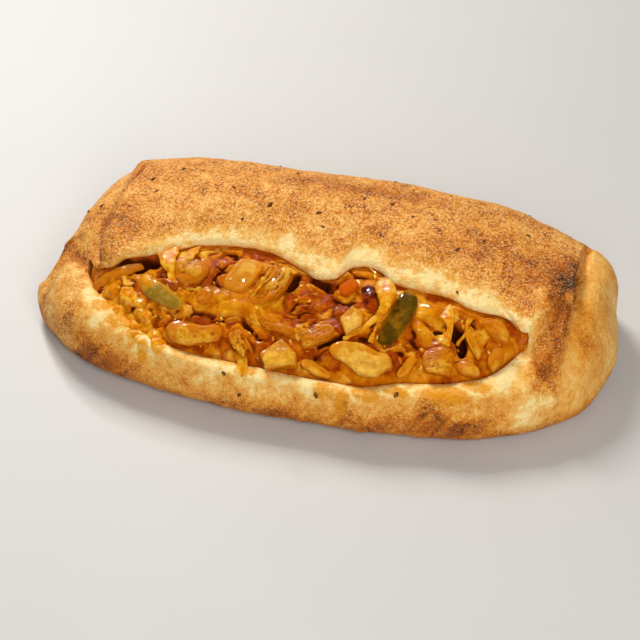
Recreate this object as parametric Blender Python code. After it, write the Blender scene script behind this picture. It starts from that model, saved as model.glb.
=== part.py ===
"""A baked stromboli: dough rolled over a chicken, onion, pepper and cheese filling.

The roll lies along X with its open side towards -Y, and rests on its flat underside at z = 0.
Profiles are in millimetres, measured from the filling's mouth, and are turned into metres at the end.
"""
import math

import bmesh
import bpy
import numpy as np
from mathutils import Matrix, Vector, noise

MM = 0.001
GAP = 0.3                       # air left between pieces that touch
MIDDLE = (0.7, 6.1)             # middle of the roll's plan, which becomes x = 0, y = 0

# The roll from end to end
LEFT_TIP = (-131.0, -8.0)
RIGHT_TIP = (132.0, 14.0)
TIP_HEIGHT = 12.0               # height of the foremost point of each end
END_ROUND = 13.0                # how far in the ends stay rounded
FLOOR_THICK = 8.5
SHELL_THICK = 8.5
LIP_THICK = 6.2                 # thickness of the flap's free edge

# Profiles along the roll: a few (x, value) knots, joined by smooth curves
FRONT = ((-131, -20), (-120, -27.5), (-110, -37), (-99, -44), (-87, -48), (-57, -53.5), (-19, -57),
         (25, -56.5), (71, -51.5), (89, -45.5), (102, -39), (113, -30), (122, -21), (132, -12))
BACK = ((-131, -2), (-128, 3), (-125.5, 11), (-123, 23), (-119.5, 37), (-114, 50), (-106, 60), (-90, 65.5),
        (-27, 68.5), (45, 70), (76, 66.5), (92, 61.5), (106, 56.5), (116, 54), (124, 46), (132, 32))
RIDGE_HEIGHT = ((-131, 19), (-126, 24), (-120, 34), (-110, 44), (-98, 51), (-70, 56), (0, 58),
                (60, 56.5), (90, 53), (108, 49), (120, 45), (132, 36))
RIDGE_PLACE = ((-131, -11), (-128, -8), (-125, -1), (-121, 10), (-112, 22), (-95, 29), (0, 30),
               (70, 28), (100, 24), (132, 16))
LIP_PLACE = ((-131, -5), (-125, 6), (-116, 1), (-104, -10), (-98, -14), (-92, -14.5), (-85, -11.3),
             (-75, -8), (-63, -1.7), (-52, 3), (-35, 5.6), (-24, 5), (-8, -0.6), (1, -4.9), (9, -3.4),
             (14, 4.2), (21, 5.4), (27, 3), (33, -1.9), (58, -4), (72, -8.2), (81, -8), (89, -10.7),
             (96, -12), (105, -8), (132, 10))
LIP_HEIGHT = ((-131, 14), (-122, 23), (-110, 31), (-98, 36.5), (-92, 39), (-85, 43), (-40, 45.6),
              (1, 43.5), (20, 46), (58, 44.5), (81, 42.5), (89, 41), (95, 38.5), (110, 37), (132, 24))
WALL_PLACE = ((-131, -12), (-125, -6), (-116, -8), (-107, -14), (-103, -18), (-95, -28), (-81, -36),
              (-66, -45), (-43, -49.5), (17, -50.5), (28, -51), (47, -45), (68, -41), (82, -34.5),
              (88, -28), (94, -21), (105, -26), (118, -12), (132, 2))
WALL_HEIGHT = ((-131, 14), (-122, 25), (-112, 30), (-103, 31), (-81, 28.5), (-43, 24.5), (10, 23.5),
               (47, 25), (82, 27.5), (94, 30), (110, 29), (120, 26), (132, 16))
MOUTH = (-104.5, -100.0, 90.5, 95.0)    # where the mouth starts, is fully open, narrows and ends

# Relief: the flap's right strip, its left leg and the seam between the left lobes
STRIP_X = (91.5, 96.5, 109.0, 113.0)
STRIP_TIP = ((90, -12), (95, -19), (100, -26), (107, -30), (112, -31))
STRIP_RISE = 5.5
STRIP_FADE = (-12.0, 24.0)              # the strip sinks level with the flap between these y
LEG_X = (-102.5, -98.0)
LEFT_DROP = 5.0                         # how much lower the end lobes lie than the flap
RIGHT_DROP = 5.0
LEG_BUMP = (-94.0, 5.0, 4.0)            # place, reach and height
GROOVE = 2.4
TUCK = 0.26                             # share of its height that the left end's back is tucked up
LEFT_CLOSED = (-129.0, -116.0)          # beyond these the ends are plain rounded dough
RIGHT_CLOSED = (97.0, 113.0)
CLOSED_FULLNESS = 2.2                   # 2 is an ellipse, more is boxier
SEAM_DEPTH = 3.5

# How finely the dough is drawn: stations along it, and points on each span of a section
STATIONS = 80
POINTS_ON_SPAN = [1, 1, 1] + [1, 1, 2, 2, 1, 1] + [1] * 12 + [1, 2, 1] + [2] * 5 + [1] * 6
SKIN_SPANS = [0, 0, 0] + [0.2, 1, 1, 1, 0.6, 0] + [0] * 12 + [0, 0.6, 1] + [1] * 8 + [0.4, 0, 0]
HOLLOW_SPANS = (9, 21)          # the spans that line the hollow
SWELL = 1.2                     # slow unevenness of the skin
SWELL_SIZE = 26.0
BUSY = ((-131, 3, 8), (-125, 5, 3), (-101, 4, 2.4), (11, 8, 0.8), (93, 4, 2.4), (111.5, 3, 2.4), (132, 4, 8))


# The filling's showing side
FILLING_FROM = 0.10             # it starts where the mouth is this far open
FILLING_ROWS = 13
FILLING_BULGE = 0.12            # how far it swells, as a share of the mouth's width
FILLING_BELLY = 0.80            # under 1 it swells most towards the front
FILLING_SLOPE = 22.0            # degrees that its showing side leans towards the front
CRAG = 2.2
CRAG_SIZE = 6.0

# Melted cheese and shreds that stand out of it: x, y, half length, half width, turn, height
SHREDS = (
    (-69, -17, 9, 2.5, -78, 4.0),
    (-82, -31, 6, 5, 0, 3.0),
    (-74, -40, 7, 4, -35, 2.5),
    (-40, -26, 14, 5, -6, 2.2),
    (-28, -33, 8, 3, 0, 2.4),
    (3, -16, 9, 6, -20, 2.0),
    (54, -14, 7, 5, 0, 3.2),
    (64, -26, 2.2, 9, 0, 2.6),
    (50, -41, 8, 3, 10, 2.0),
)

# Pieces of the filling that lie on their own, each with its look and
# x, y, lift, length, width, thickness, turn, lean, roll, bend
PIECES = {
    "onion_square": ("onion", (-31.6, -12.2, 1.8, 20, 12, 4.0, 73, 6, 0, 0)),
    "chicken_shredded": ("chicken", (-18.4, -15.2, 1.2, 24, 12, 7, 62, -4, 0, 0)),
    "chicken_round": ("chicken", (-54.4, -14.2, 1.0, 16, 14, 9, 20, 0, 0, 0)),
    "pepper_left": ("pepper", (-64.0, -27.6, 1.8, 24, 9, 4.0, -28, 0, 4, 0.8)),
    "chicken_pale": ("chicken", (-46.0, -40.2, 2.6, 27, 11, 7, 3, 0, 0, 0)),
    "chicken_diced": ("chicken", (-7.6, -42.6, 3.9, 16, 12.5, 7, 20, 0, 0, 0)),
    "chicken_ragged": ("chicken", (-24.2, -41.2, 3.1, 15, 9, 6, -60, 0, 0, 0)),
    "chicken_small": ("chicken", (-45.4, -24.6, 1.6, 10, 7, 4.5, 38, 0, 0, 0)),
    "chicken_strand": ("chicken", (-11.2, -31.4, 1.4, 19, 6.5, 5, -5, 0, 0, 0)),
    "chicken_long": ("chicken", (7.2, -33.0, 1.8, 16.5, 8.5, 5, 35, 0, 0, 0)),
    "onion_cube": ("onion", (20.8, -24.8, 1.6, 11.5, 10.5, 8, 42, 0, 0, 0)),
    "charred_bit": ("charred", (26.0, -14.0, 2.0, 13.5, 7.5, 6, -64, 0, 0, 0)),
    "orange_bit": ("pepper_red", (15.0, -8.6, 1.2, 10, 7.5, 5, 36, 0, 0, 0)),
    "pepper_dark": ("pepper", (39.6, -20.0, 1.0, 28, 11, 4.5, -103, 0, 0, 1.5)),
    "onion_big": ("onion", (27.9, -40.0, 3.6, 29, 13, 4.5, -4, 0, 6, 1.0)),
    "onion_long": ("onion", (10.0, -44.4, 2.7, 15, 5, 3.0, -16, 0, 0, 0)),
    "onion_clear": ("onion", (48.0, -37.4, 2.6, 13, 6, 4.0, 52, 0, 0, 0)),
    "chicken_flat": ("chicken", (60.6, -32.8, 2.0, 14, 13.5, 6, 14, 0, 0, 0)),
    "onion_strip": ("onion", (73.6, -24.0, 1.4, 14.5, 4.5, 4.0, -52, 0, 0, 0)),
    "chicken_right": ("chicken", (82.0, -15.6, 1.0, 13.5, 9, 7, -11, 0, 0, 0)),
    "chicken_end": ("chicken", (83.8, -25.6, 3.0, 11.5, 7, 5, 62, 0, 0, 0)),
    "chicken_low": ("chicken", (73.4, -33.3, 4.2, 11, 6.5, 6, 5, 0, 0, 0)),
}
CHUNK_CUTS = 2
CHUNK_SQUARENESS = 4.5
CHUNK_UNEVEN = 0.22

# Looks: base colour (linear), roughness
LOOKS = {
    "crust": ((0.62, 0.33, 0.10), 0.75),
    "sauce": ((0.62, 0.22, 0.02), 0.25),
    "chicken": ((0.66, 0.34, 0.10), 0.35),
    "onion": ((0.72, 0.47, 0.12), 0.22),
    "pepper": ((0.16, 0.15, 0.02), 0.25),
    "pepper_red": ((0.62, 0.16, 0.02), 0.30),
    "charred": ((0.20, 0.04, 0.01), 0.40),
}


def ease(value, start, end):
    """0 before start, 1 after end, smooth between."""
    t = np.clip((value - start) / (end - start), 0.0, 1.0)
    return t * t * (3.0 - 2.0 * t)


def along(knots, x):
    """Value at x of a smooth curve through the knots, without overshoot."""
    kx, kv = np.array(knots, dtype=float).T
    gap = np.diff(kx)
    rise = np.diff(kv) / gap
    lean = np.zeros(len(kx))
    lean[0], lean[-1] = rise[0], rise[-1]
    product = rise[:-1] * rise[1:]
    total = np.where(product > 0, rise[:-1] + rise[1:], 1.0)
    lean[1:-1] = np.where(product > 0, 2.0 * product / total, 0.0)
    i = np.clip(np.searchsorted(kx, x) - 1, 0, len(kx) - 2)
    t = (x - kx[i]) / gap[i]
    value = kv[i] * (1 + 2 * t) * (1 - t) ** 2 + kv[i + 1] * t * t * (3 - 2 * t)
    return value + gap[i] * (lean[i] * t * (1 - t) ** 2 - lean[i + 1] * t * t * (1 - t))


def stations(count):
    """Places along the roll, closer together where its form turns quickly."""
    x = np.linspace(LEFT_TIP[0] + 0.15, RIGHT_TIP[0] - 0.15, 4001)
    density = 1.0 + sum(weight * np.exp(-((x - place) / reach) ** 2) for place, reach, weight in BUSY)
    total = np.cumsum(density)
    total = (total - total[0]) / (total[-1] - total[0])
    return np.interp(np.linspace(0.0, 1.0, count), total, x)


def mouth_open(x):
    """1 where the roll's side is open on the filling, 0 where it is closed."""
    return ease(x, MOUTH[0], MOUTH[1]) * (1.0 - ease(x, MOUTH[2], MOUTH[3]))


def dough_outline(x):
    """Corner points (y, z) of the dough's section at each x, one closed ring per x."""
    front, back = along(FRONT, x), along(BACK, x)
    top, ridge = along(RIDGE_HEIGHT, x), along(RIDGE_PLACE, x)
    lip_y, lip_z = along(LIP_PLACE, x), along(LIP_HEIGHT, x)
    wall_y, wall_z = along(WALL_PLACE, x), along(WALL_HEIGHT, x)
    top = top - LEFT_DROP * (1.0 - ease(x, *LEG_X)) - RIGHT_DROP * ease(x, STRIP_X[2], STRIP_X[3])
    width = back - front
    flat = 0.0 * x
    tuck = TUCK * top * (1.0 - ease(x, -127.0, -112.0))
    is_open = mouth_open(x)[:, None, None]

    under = [(front + 0.50 * width, flat), (front + 0.20 * width, flat), (front + 0.11 * width, flat)]
    wall = [(front + 0.035 * width, 0.02 * wall_z), (front - 0.8, 0.25 * wall_z),
            (front - 0.6, 0.60 * wall_z), (front + 0.3 * (wall_y - front), 0.93 * wall_z),
            (wall_y - 2.5, wall_z + 0.8), (wall_y + 2.0, wall_z + 0.4)]
    hollow = [(wall_y + 3.8, wall_z - 1.8), (wall_y + 5.8, wall_z - 9.0),
              (wall_y + 12.0, FLOOR_THICK + flat), (0.5 * (wall_y + back), FLOOR_THICK + flat),
              (back - 20.0, FLOOR_THICK + flat), (back - SHELL_THICK, 14.0 + flat),
              (back - SHELL_THICK, 0.55 * top), (back - 1.8 * SHELL_THICK, top - 1.6 * SHELL_THICK),
              (ridge, top - SHELL_THICK), (0.5 * (ridge + lip_y), 0.5 * (top - SHELL_THICK + lip_z)),
              (lip_y + 8.0, lip_z - 1.2), (lip_y + 2.6, lip_z - 0.5 * LIP_THICK)]
    nose = [(lip_y - 2.2, lip_z - 1.5), (lip_y - 1.8, lip_z + 2.4), (lip_y + 4.0, lip_z + 4.4)]
    shut_nose = [(lip_y + 0.8, lip_z + 0.5), (lip_y + 2.5, lip_z + 1.5), (lip_y + 6.0, lip_z + 3.0)]
    brow = lip_z + 4.4
    flap = [(lip_y + 0.40 * (ridge - lip_y), brow + 0.50 * (top - brow)),
            (lip_y + 0.72 * (ridge - lip_y), brow + 0.88 * (top - brow)), (ridge, top + 0.4),
            (ridge + 0.40 * (back - ridge), 0.975 * top), (ridge + 0.80 * (back - ridge), 0.87 * top),
            (back - 0.01 * width, 0.66 * top), (back + 0.5, 0.42 * top), (back - 0.8, 0.18 * top + tuck),
            (back - 0.035 * width, 0.02 * top + tuck), (back - 0.10 * width, 0.7 * tuck),
            (back - 0.20 * width, 0.3 * tuck)]

    under, wall, hollow, nose, shut_nose, flap = (
        np.stack([np.stack(point, axis=1) for point in part], axis=1)
        for part in (under, wall, hollow, nose, shut_nose, flap))
    share = ((np.arange(hollow.shape[1]) + 1.0) / (hollow.shape[1] + 1.0))[None, :, None]
    shut = wall[:, -1:] + (shut_nose[:, :1] - wall[:, -1:]) * share
    seam = SEAM_DEPTH * (1.0 - ease(x, MOUTH[0] - 6.0, MOUTH[0])) - 1.0 * ease(x, MOUTH[3] - 4.0, MOUTH[3])
    shut[:, :, 1] -= seam[:, None] * np.sin(math.pi * share[:, :, 0])
    hollow = shut + (hollow - shut) * is_open
    nose = shut_nose + (nose - shut_nose) * is_open
    ring = np.concatenate([under, wall, hollow, nose, flap], axis=1)

    closed = 1.0 - ease(x, *LEFT_CLOSED) + ease(x, *RIGHT_CLOSED)
    first, last = under.shape[1] + 2, ring.shape[1] - flap.shape[1] + 2
    turn = np.linspace(0.08, 0.96, last - first) * math.pi / 2.0
    reach, climb = (np.abs(f(turn)) ** (2.0 / CLOSED_FULLNESS) for f in (np.cos, np.sin))
    foot = 0.3 * wall_z
    arc = np.stack([ridge[:, None] - (ridge - front)[:, None] * reach,
                    foot[:, None] + (top - foot)[:, None] * climb], axis=2)
    ring[:, first:last] += (arc - ring[:, first:last]) * closed[:, None, None]

    for tip_x, tip_y in (LEFT_TIP, RIGHT_TIP):
        inward = np.clip(np.abs(x - tip_x) / END_ROUND, 0.0, 1.0)
        swell = np.sqrt(1.0 - (1.0 - inward) ** 2)[:, None, None]
        tip = np.array((tip_y, TIP_HEIGHT))
        ring = tip + (ring - tip) * swell
    return ring


def rounded(ring, per_span):
    """Smooth closed curves drawn from the rings' corners, with the given points on each span."""
    count = ring.shape[1]
    curve = []
    for i in range(count):
        for t in np.arange(per_span[i]) / per_span[i]:
            weights = ((1 - t) ** 3, 3 * t ** 3 - 6 * t * t + 4, -3 * t ** 3 + 3 * t * t + 3 * t + 1, t ** 3)
            curve.append(sum(w * ring[:, (i + j - 1) % count] for j, w in enumerate(weights)) / 6.0)
    return np.stack(curve, axis=1)


def dough_relief(x, y, z):
    """How far the dough's skin stands out from the plain roll."""
    upper = ease(z, 12.0, 20.0)
    strip_end = along(STRIP_TIP, np.clip(x, STRIP_TIP[0][0], STRIP_TIP[-1][0]))
    strip = ease(x, STRIP_X[0], STRIP_X[1]) * (1.0 - ease(x, STRIP_X[2], STRIP_X[3]))
    rise = STRIP_RISE * strip * ease(y, strip_end - 2.0, strip_end + 3.5) * upper
    rise *= 1.0 - ease(y, *STRIP_FADE)

    seam = along(LIP_PLACE, x)
    place, reach, height = LEG_BUMP
    rise += height * np.exp(-((x - place) / reach) ** 2) * ease(y, -17.0, -11.0) * (1.0 - ease(y, 8.0, 40.0))

    strip_edge = np.exp(-((x - STRIP_X[3] - 0.5) / 2.4) ** 2) * ease(y, -34.0, -20.0)
    strip_edge *= 1.0 - 0.6 * ease(y, 35.0, 55.0)
    leg_edge = 0.6 * np.exp(-((x - LEG_X[0]) / 2.2) ** 2) * ease(y, seam, seam + 8.0)
    return rise - GROOVE * (strip_edge + leg_edge) * upper


def unevenness(points, size, height):
    """Smooth bumps of the given size and height at each point."""
    flat = points.reshape(-1, 3) / size
    return height * np.array([noise.noise(Vector(p)) for p in flat]).reshape(points.shape[:-1])


def section_curves(x):
    """The dough's smooth sections at x: (station, point, yz), in mm."""
    return rounded(dough_outline(x), POINTS_ON_SPAN)


def with_x(x, curves):
    """The sections as points in space."""
    across = np.broadcast_to(x[:, None, None], curves.shape[:2] + (1,))
    return np.concatenate([across, curves], axis=2)


def dough_grid():
    """Points of the dough's surface: (station, point, xyz), in mm."""
    x = stations(STATIONS)
    grid = with_x(x, section_curves(x))
    along_roll = np.gradient(grid, axis=0)
    round_roll = np.roll(grid, -1, axis=1) - np.roll(grid, 1, axis=1)
    normal = np.cross(along_roll, round_roll)
    normal /= np.maximum(np.linalg.norm(normal, axis=2, keepdims=True), 1e-9)
    height = dough_relief(grid[:, :, 0], grid[:, :, 1], grid[:, :, 2])
    height += unevenness(grid, SWELL_SIZE, SWELL) * ease(grid[:, :, 2], 0.5, 6.0)
    skin = np.repeat(SKIN_SPANS, POINTS_ON_SPAN)
    return grid + normal * (height * skin)[:, :, None]


def hollow_lining(x):
    """The filling's side of the dough's hollow, a gap clear of it: (station, point, yz)."""
    curves = section_curves(x)
    first, last = (sum(POINTS_ON_SPAN[:span]) for span in HOLLOW_SPANS)
    step = curves[:, first + 1:last + 1] - curves[:, first - 1:last - 1]
    clear = np.stack([-step[:, :, 1], step[:, :, 0]], axis=2)
    clear /= np.maximum(np.linalg.norm(clear, axis=2, keepdims=True), 1e-9)
    return curves[:, first:last] + GAP * clear


def bulge(share):
    """The filling's swell across the mouth, from 0 at the wall to 1 at the lip."""
    return FILLING_BULGE * np.sin(math.pi * share ** FILLING_BELLY)


def filling_level(x, y):
    """Height of the filling's showing side at (x, y), before its relief."""
    lining = hollow_lining(np.atleast_1d(np.asarray(x, dtype=float)))
    low, high = lining[:, 0], lining[:, -1]
    width = high[:, 0] - low[:, 0]
    share = np.clip((y - low[:, 0]) / width, 0.0, 1.0)
    return low[:, 1] + (high[:, 1] - low[:, 1]) * share + bulge(share) * width


def filling_relief(x, y):
    """Folds of melted cheese and shreds on the filling's showing side."""
    rise = 0.0 * x
    for place_x, place_y, half_long, half_wide, turn, height in SHREDS:
        turn = math.radians(turn)
        u = ((x - place_x) * math.cos(turn) + (y - place_y) * math.sin(turn)) / half_long
        v = (-(x - place_x) * math.sin(turn) + (y - place_y) * math.cos(turn)) / half_wide
        rise = np.maximum(rise, height * np.exp(-(u ** 4 + v ** 4)))
    return rise


def filling_grid():
    """Points of the filling's surface: (station, point, xyz), in mm."""
    x = stations(STATIONS)
    x = x[mouth_open(x) > FILLING_FROM]
    lining = hollow_lining(x)
    share = (np.arange(FILLING_ROWS) + 1.0) / (FILLING_ROWS + 1.0)
    low, high = lining[:, :1], lining[:, -1:]
    face = high + (low - high) * share[None, :, None]
    width = (high - low)[:, :, 0]
    face[:, :, 1] += bulge(1.0 - share) * width
    face = with_x(x, face)
    calm = ease(share, 0.10, 0.32) * (1.0 - ease(share, 0.84, 0.97)) * ease(width, 20.0, 40.0)
    relief = filling_relief(face[:, :, 0], face[:, :, 1]) + unevenness(face, CRAG_SIZE, CRAG)
    face[:, :, 2] += relief * calm
    return np.concatenate([with_x(x, lining), face], axis=1)


def mesh_from_grid(name, grid):
    """A closed mesh object from rings of points, with a fan at each end."""
    rings, count = grid.shape[:2]
    points = (grid - np.array((MIDDLE[0], MIDDLE[1], 0.0))) * MM
    verts = [tuple(p) for p in points.reshape(-1, 3)]
    faces = []
    for i in range(rings - 1):
        for j in range(count):
            k = (j + 1) % count
            faces.append((i * count + j, i * count + k, (i + 1) * count + k, (i + 1) * count + j))
    for ring in (0, rings - 1):
        verts.append(tuple(points[ring].mean(axis=0)))
        hub = len(verts) - 1
        for j in range(count):
            faces.append((hub, ring * count + j, ring * count + (j + 1) % count))
    mesh = bpy.data.meshes.new(name)
    mesh.from_pydata(verts, [], faces)
    tidy = bmesh.new()
    tidy.from_mesh(mesh)
    bmesh.ops.recalc_face_normals(tidy, faces=tidy.faces)
    bmesh.ops.triangulate(tidy, faces=tidy.faces)
    tidy.to_mesh(mesh)
    tidy.free()
    mesh.shade_smooth()
    return add_object(name, mesh)


def add_object(name, mesh):
    thing = bpy.data.objects.new(name, mesh)
    bpy.context.scene.collection.objects.link(thing)
    return thing


def painted(name, colour, roughness, metallic=0.0):
    """A plain Principled material."""
    material = bpy.data.materials.new(name)
    material.use_nodes = True
    shader = material.node_tree.nodes["Principled BSDF"]
    shader.inputs["Base Color"].default_value = (*colour, 1.0)
    shader.inputs["Roughness"].default_value = roughness
    shader.inputs["Metallic"].default_value = metallic
    return material


def chunk_mesh(name, size, bend, grow, seed):
    """A rounded, uneven block; size is its length, width and thickness in mm."""
    block = bmesh.new()
    bmesh.ops.create_cube(block, size=2.0)
    bmesh.ops.subdivide_edges(block, edges=block.edges[:], cuts=CHUNK_CUTS, use_grid_fill=True)
    half = [0.5 * side + grow for side in size]
    for vert in block.verts:
        p = vert.co.copy()
        reach = sum(abs(c) ** CHUNK_SQUARENESS for c in p) ** (1.0 / CHUNK_SQUARENESS)
        p /= reach
        p *= 1.0 + CHUNK_UNEVEN * noise.noise(vert.co * 0.9 + Vector((seed * 7.3, seed * 3.1, 0.0)))
        x = p.x * half[0]
        z = p.z * half[2] - bend * (2.0 * x / size[0]) ** 2
        vert.co = Vector((x, p.y * half[1], z)) * MM
    bmesh.ops.triangulate(block, faces=block.faces)
    mesh = bpy.data.meshes.new(name)
    block.to_mesh(mesh)
    block.free()
    mesh.shade_smooth()
    return mesh


def place_chunk(name, spec, grow, seed):
    """One piece of the filling, lying in its showing side."""
    x, y, lift, length, width, thick, turn, lean, roll, bend = spec
    chunk = add_object(name, chunk_mesh(name, (length, width, thick), bend, grow, seed))
    level = float(filling_level(x, y)[0]) + lift
    turned = (Matrix.Rotation(math.radians(FILLING_SLOPE), 4, "X") @ Matrix.Rotation(math.radians(turn), 4, "Z")
              @ Matrix.Rotation(math.radians(lean), 4, "Y") @ Matrix.Rotation(math.radians(roll), 4, "X"))
    place = Vector((x - MIDDLE[0], y - MIDDLE[1], level)) * MM
    chunk.matrix_world = Matrix.Translation(place) @ turned
    return chunk


def cut_sockets(target, cutters):
    """Take the cutters' shapes out of the target, and remove the cutters."""
    sockets = bpy.data.collections.new("sockets")
    bpy.context.scene.collection.children.link(sockets)
    for cutter in cutters:
        bpy.context.scene.collection.objects.unlink(cutter)
        sockets.objects.link(cutter)
        cutter.hide_render = True
        cutter.display_type = "WIRE"
    cut = target.modifiers.new("sockets", "BOOLEAN")
    cut.operation = "DIFFERENCE"
    cut.operand_type = "COLLECTION"
    cut.collection = sockets
    cut.solver = "EXACT"
    bpy.context.view_layer.update()
    evaluated = target.evaluated_get(bpy.context.evaluated_depsgraph_get())
    mesh = bpy.data.meshes.new_from_object(evaluated)
    target.modifiers.clear()
    target.data = mesh
    for cutter in cutters:
        bpy.data.objects.remove(cutter)
    bpy.data.collections.remove(sockets)


def build():
    for thing in list(bpy.data.objects):
        bpy.data.objects.remove(thing)
    materials = {name: painted(name, *look) for name, look in LOOKS.items()}

    dough = mesh_from_grid("dough", dough_grid())
    dough.data.materials.append(materials["crust"])
    filling = mesh_from_grid("filling", filling_grid())

    cutters = []
    for seed, (name, (look, spec)) in enumerate(PIECES.items()):
        piece = place_chunk(name, spec, 0.0, seed)
        piece.data.materials.append(materials[look])
        cutters.append(place_chunk(name + "_socket", spec, GAP, seed))
    cut_sockets(filling, cutters)
    filling.data.materials.clear()
    filling.data.materials.append(materials["sauce"])


build()
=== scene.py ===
import math

import bmesh
import bpy
import numpy as np
from mathutils import Matrix, Vector, noise
from mathutils.kdtree import KDTree


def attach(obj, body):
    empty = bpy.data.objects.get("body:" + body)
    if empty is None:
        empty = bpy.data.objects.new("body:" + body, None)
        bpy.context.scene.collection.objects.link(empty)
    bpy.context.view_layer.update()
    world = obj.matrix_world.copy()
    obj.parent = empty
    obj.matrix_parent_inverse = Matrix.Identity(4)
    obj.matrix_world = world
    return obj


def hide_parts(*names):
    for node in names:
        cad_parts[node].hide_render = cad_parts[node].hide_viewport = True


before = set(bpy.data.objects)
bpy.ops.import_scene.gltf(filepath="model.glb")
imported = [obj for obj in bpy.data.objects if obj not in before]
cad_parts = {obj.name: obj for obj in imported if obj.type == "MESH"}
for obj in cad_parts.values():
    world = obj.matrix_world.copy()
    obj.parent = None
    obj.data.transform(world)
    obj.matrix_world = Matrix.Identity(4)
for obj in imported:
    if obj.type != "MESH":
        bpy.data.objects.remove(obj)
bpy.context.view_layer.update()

millimetre = 0.001
middle = np.array((0.7, 6.1, 0.0))      # profiles are in mm from the mouth; this takes them to the frame
scene = bpy.context.scene
scene.view_settings.view_transform = "Standard"
print("frame:", len(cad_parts), "solids")


def addObject(name, data):
    thing = bpy.data.objects.new(name, data)
    scene.collection.objects.link(thing)
    return thing


# camera, lamps and room: places and sizes in mm, angles in degrees
view = {
    "aim": (-0.7, -6.1, 13.0),
    "azimuth": 14.5,
    "elevation": 42.2,
    "distance": 883.0,
    "lens": 110.5,
    "sensor": 36.0,
}

lamps = {
    "key": {"place": (-420, 520, 760), "size": 300, "power": 8.7, "colour": (1.0, 0.97, 0.91)},
    "fill": {"place": (380, -720, 660), "size": 600, "power": 6.7, "colour": (1.0, 0.98, 0.95)},
    "glint": {"place": (-300, 430, 800), "size": 24, "power": 1.9, "colour": (1.0, 1.0, 1.0), "glossy": True},
    "window": {"place": (-470, 640, 610), "size": 80, "power": 4.6, "colour": (1.0, 1.0, 1.0), "glossy": True},
}
lampAim = (0, 0, 30)

room = {"strength": 0.20, "colour": (1.0, 0.985, 0.965)}


def addCamera():
    azimuth, elevation = math.radians(view["azimuth"]), math.radians(view["elevation"])
    back = Vector((math.sin(azimuth) * math.cos(elevation), -math.cos(azimuth) * math.cos(elevation),
                   math.sin(elevation)))
    lens = bpy.data.cameras.new("photoView")
    lens.sensor_width = view["sensor"]
    lens.lens = view["lens"]
    lens.clip_start = 0.01
    camera = addObject("photoView", lens)
    camera.location = (Vector(view["aim"]) + back * view["distance"]) * millimetre
    camera.rotation_euler = back.to_track_quat("Z", "Y").to_euler()
    scene.camera = camera


def addSoftbox(name, place, size, power, colour, glossy=False):
    lamp = bpy.data.lights.new(name, "AREA")
    lamp.size = size * millimetre
    lamp.energy = power
    lamp.color = colour
    box = addObject(name, lamp)
    box.location = Vector(place) * millimetre
    box.rotation_euler = (box.location - Vector(lampAim) * millimetre).to_track_quat("Z", "Y").to_euler()
    box.visible_glossy = glossy         # a glossy lamp only glints in the sauce, and the others only light it
    box.visible_diffuse = not glossy


def addRoom():
    world = bpy.data.worlds.new("paleRoom")
    world.use_nodes = True
    walls = world.node_tree.nodes["Background"]
    walls.inputs["Color"].default_value = (*room["colour"], 1.0)
    walls.inputs["Strength"].default_value = room["strength"]
    world.cycles_visibility.glossy = False      # wet sauce mirrors the lamps only
    scene.world = world


# small helpers for node materials
def newMaterial(name, **sockets):
    material = bpy.data.materials.new(name)
    material.use_nodes = True
    shader = material.node_tree.nodes["Principled BSDF"]
    for socket, value in sockets.items():
        shader.inputs[socket.replace("_", " ")].default_value = value
    return material, material.node_tree, shader


def addNode(tree, kind, inputs=None, **settings):
    node = tree.nodes.new(kind)
    for name, value in settings.items():
        setattr(node, name, value)
    for name, value in (inputs or {}).items():
        if isinstance(value, bpy.types.NodeSocket):
            tree.links.new(value, node.inputs[name])
        else:
            node.inputs[name].default_value = value
    return node


def objectCoords(tree, shift=(0, 0, 0)):
    source = addNode(tree, "ShaderNodeTexCoord")
    return addNode(tree, "ShaderNodeMapping",
                   {"Vector": source.outputs["Object"], "Location": shift}).outputs["Vector"]


def grain(tree, coords, size, detail=2.0, rough=0.5):
    # noise whose features are about size mm across
    return addNode(tree, "ShaderNodeTexNoise", {"Vector": coords, "Scale": 1000.0 / size, "Detail": detail,
                                                "Roughness": rough}).outputs["Fac"]


def maths(tree, operation, a, b, clamp=False):
    return addNode(tree, "ShaderNodeMath", {0: a, 1: b}, operation=operation, use_clamp=clamp).outputs[0]


def times(tree, a, b):
    return maths(tree, "MULTIPLY", a, b)


def plus(tree, a, b):
    return maths(tree, "ADD", a, b)


def swing(tree, value, amount):
    # noise round 0.5 made to swing round 0
    return times(tree, maths(tree, "SUBTRACT", value, 0.5), amount)


def spread(tree, value, low, high, toLow=0.0, toHigh=1.0):
    return addNode(tree, "ShaderNodeMapRange", {"Value": value, "From Min": low, "From Max": high,
                                                "To Min": toLow, "To Max": toHigh}).outputs["Result"]


def mixColour(tree, factor, a, b, blend="MIX"):
    node = addNode(tree, "ShaderNodeMix", data_type="RGBA", blend_type=blend)
    for socket, value in ((node.inputs[0], factor), (node.inputs[6], a), (node.inputs[7], b)):
        if isinstance(value, bpy.types.NodeSocket):
            tree.links.new(value, socket)
        elif isinstance(value, tuple):
            socket.default_value = (*value, 1.0)
        else:
            socket.default_value = value
    return node.outputs[2]


def colourRamp(tree, factor, stops):
    node = addNode(tree, "ShaderNodeValToRGB", {"Fac": factor})
    marks = node.color_ramp.elements
    while len(marks) < len(stops):
        marks.new(0.5)
    for mark, (place, colour) in zip(marks, stops):
        mark.position = place
        mark.color = (*colour, 1.0)
    return node.outputs["Color"]


def readField(tree, name):
    return addNode(tree, "ShaderNodeAttribute", attribute_name=name).outputs["Fac"]


def addBump(tree, shader, height, distance, strength=1.0, socket="Normal"):
    bump = addNode(tree, "ShaderNodeBump", {"Height": height, "Distance": distance * millimetre,
                                            "Strength": strength})
    tree.links.new(bump.outputs["Normal"], shader.inputs[socket])


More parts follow.
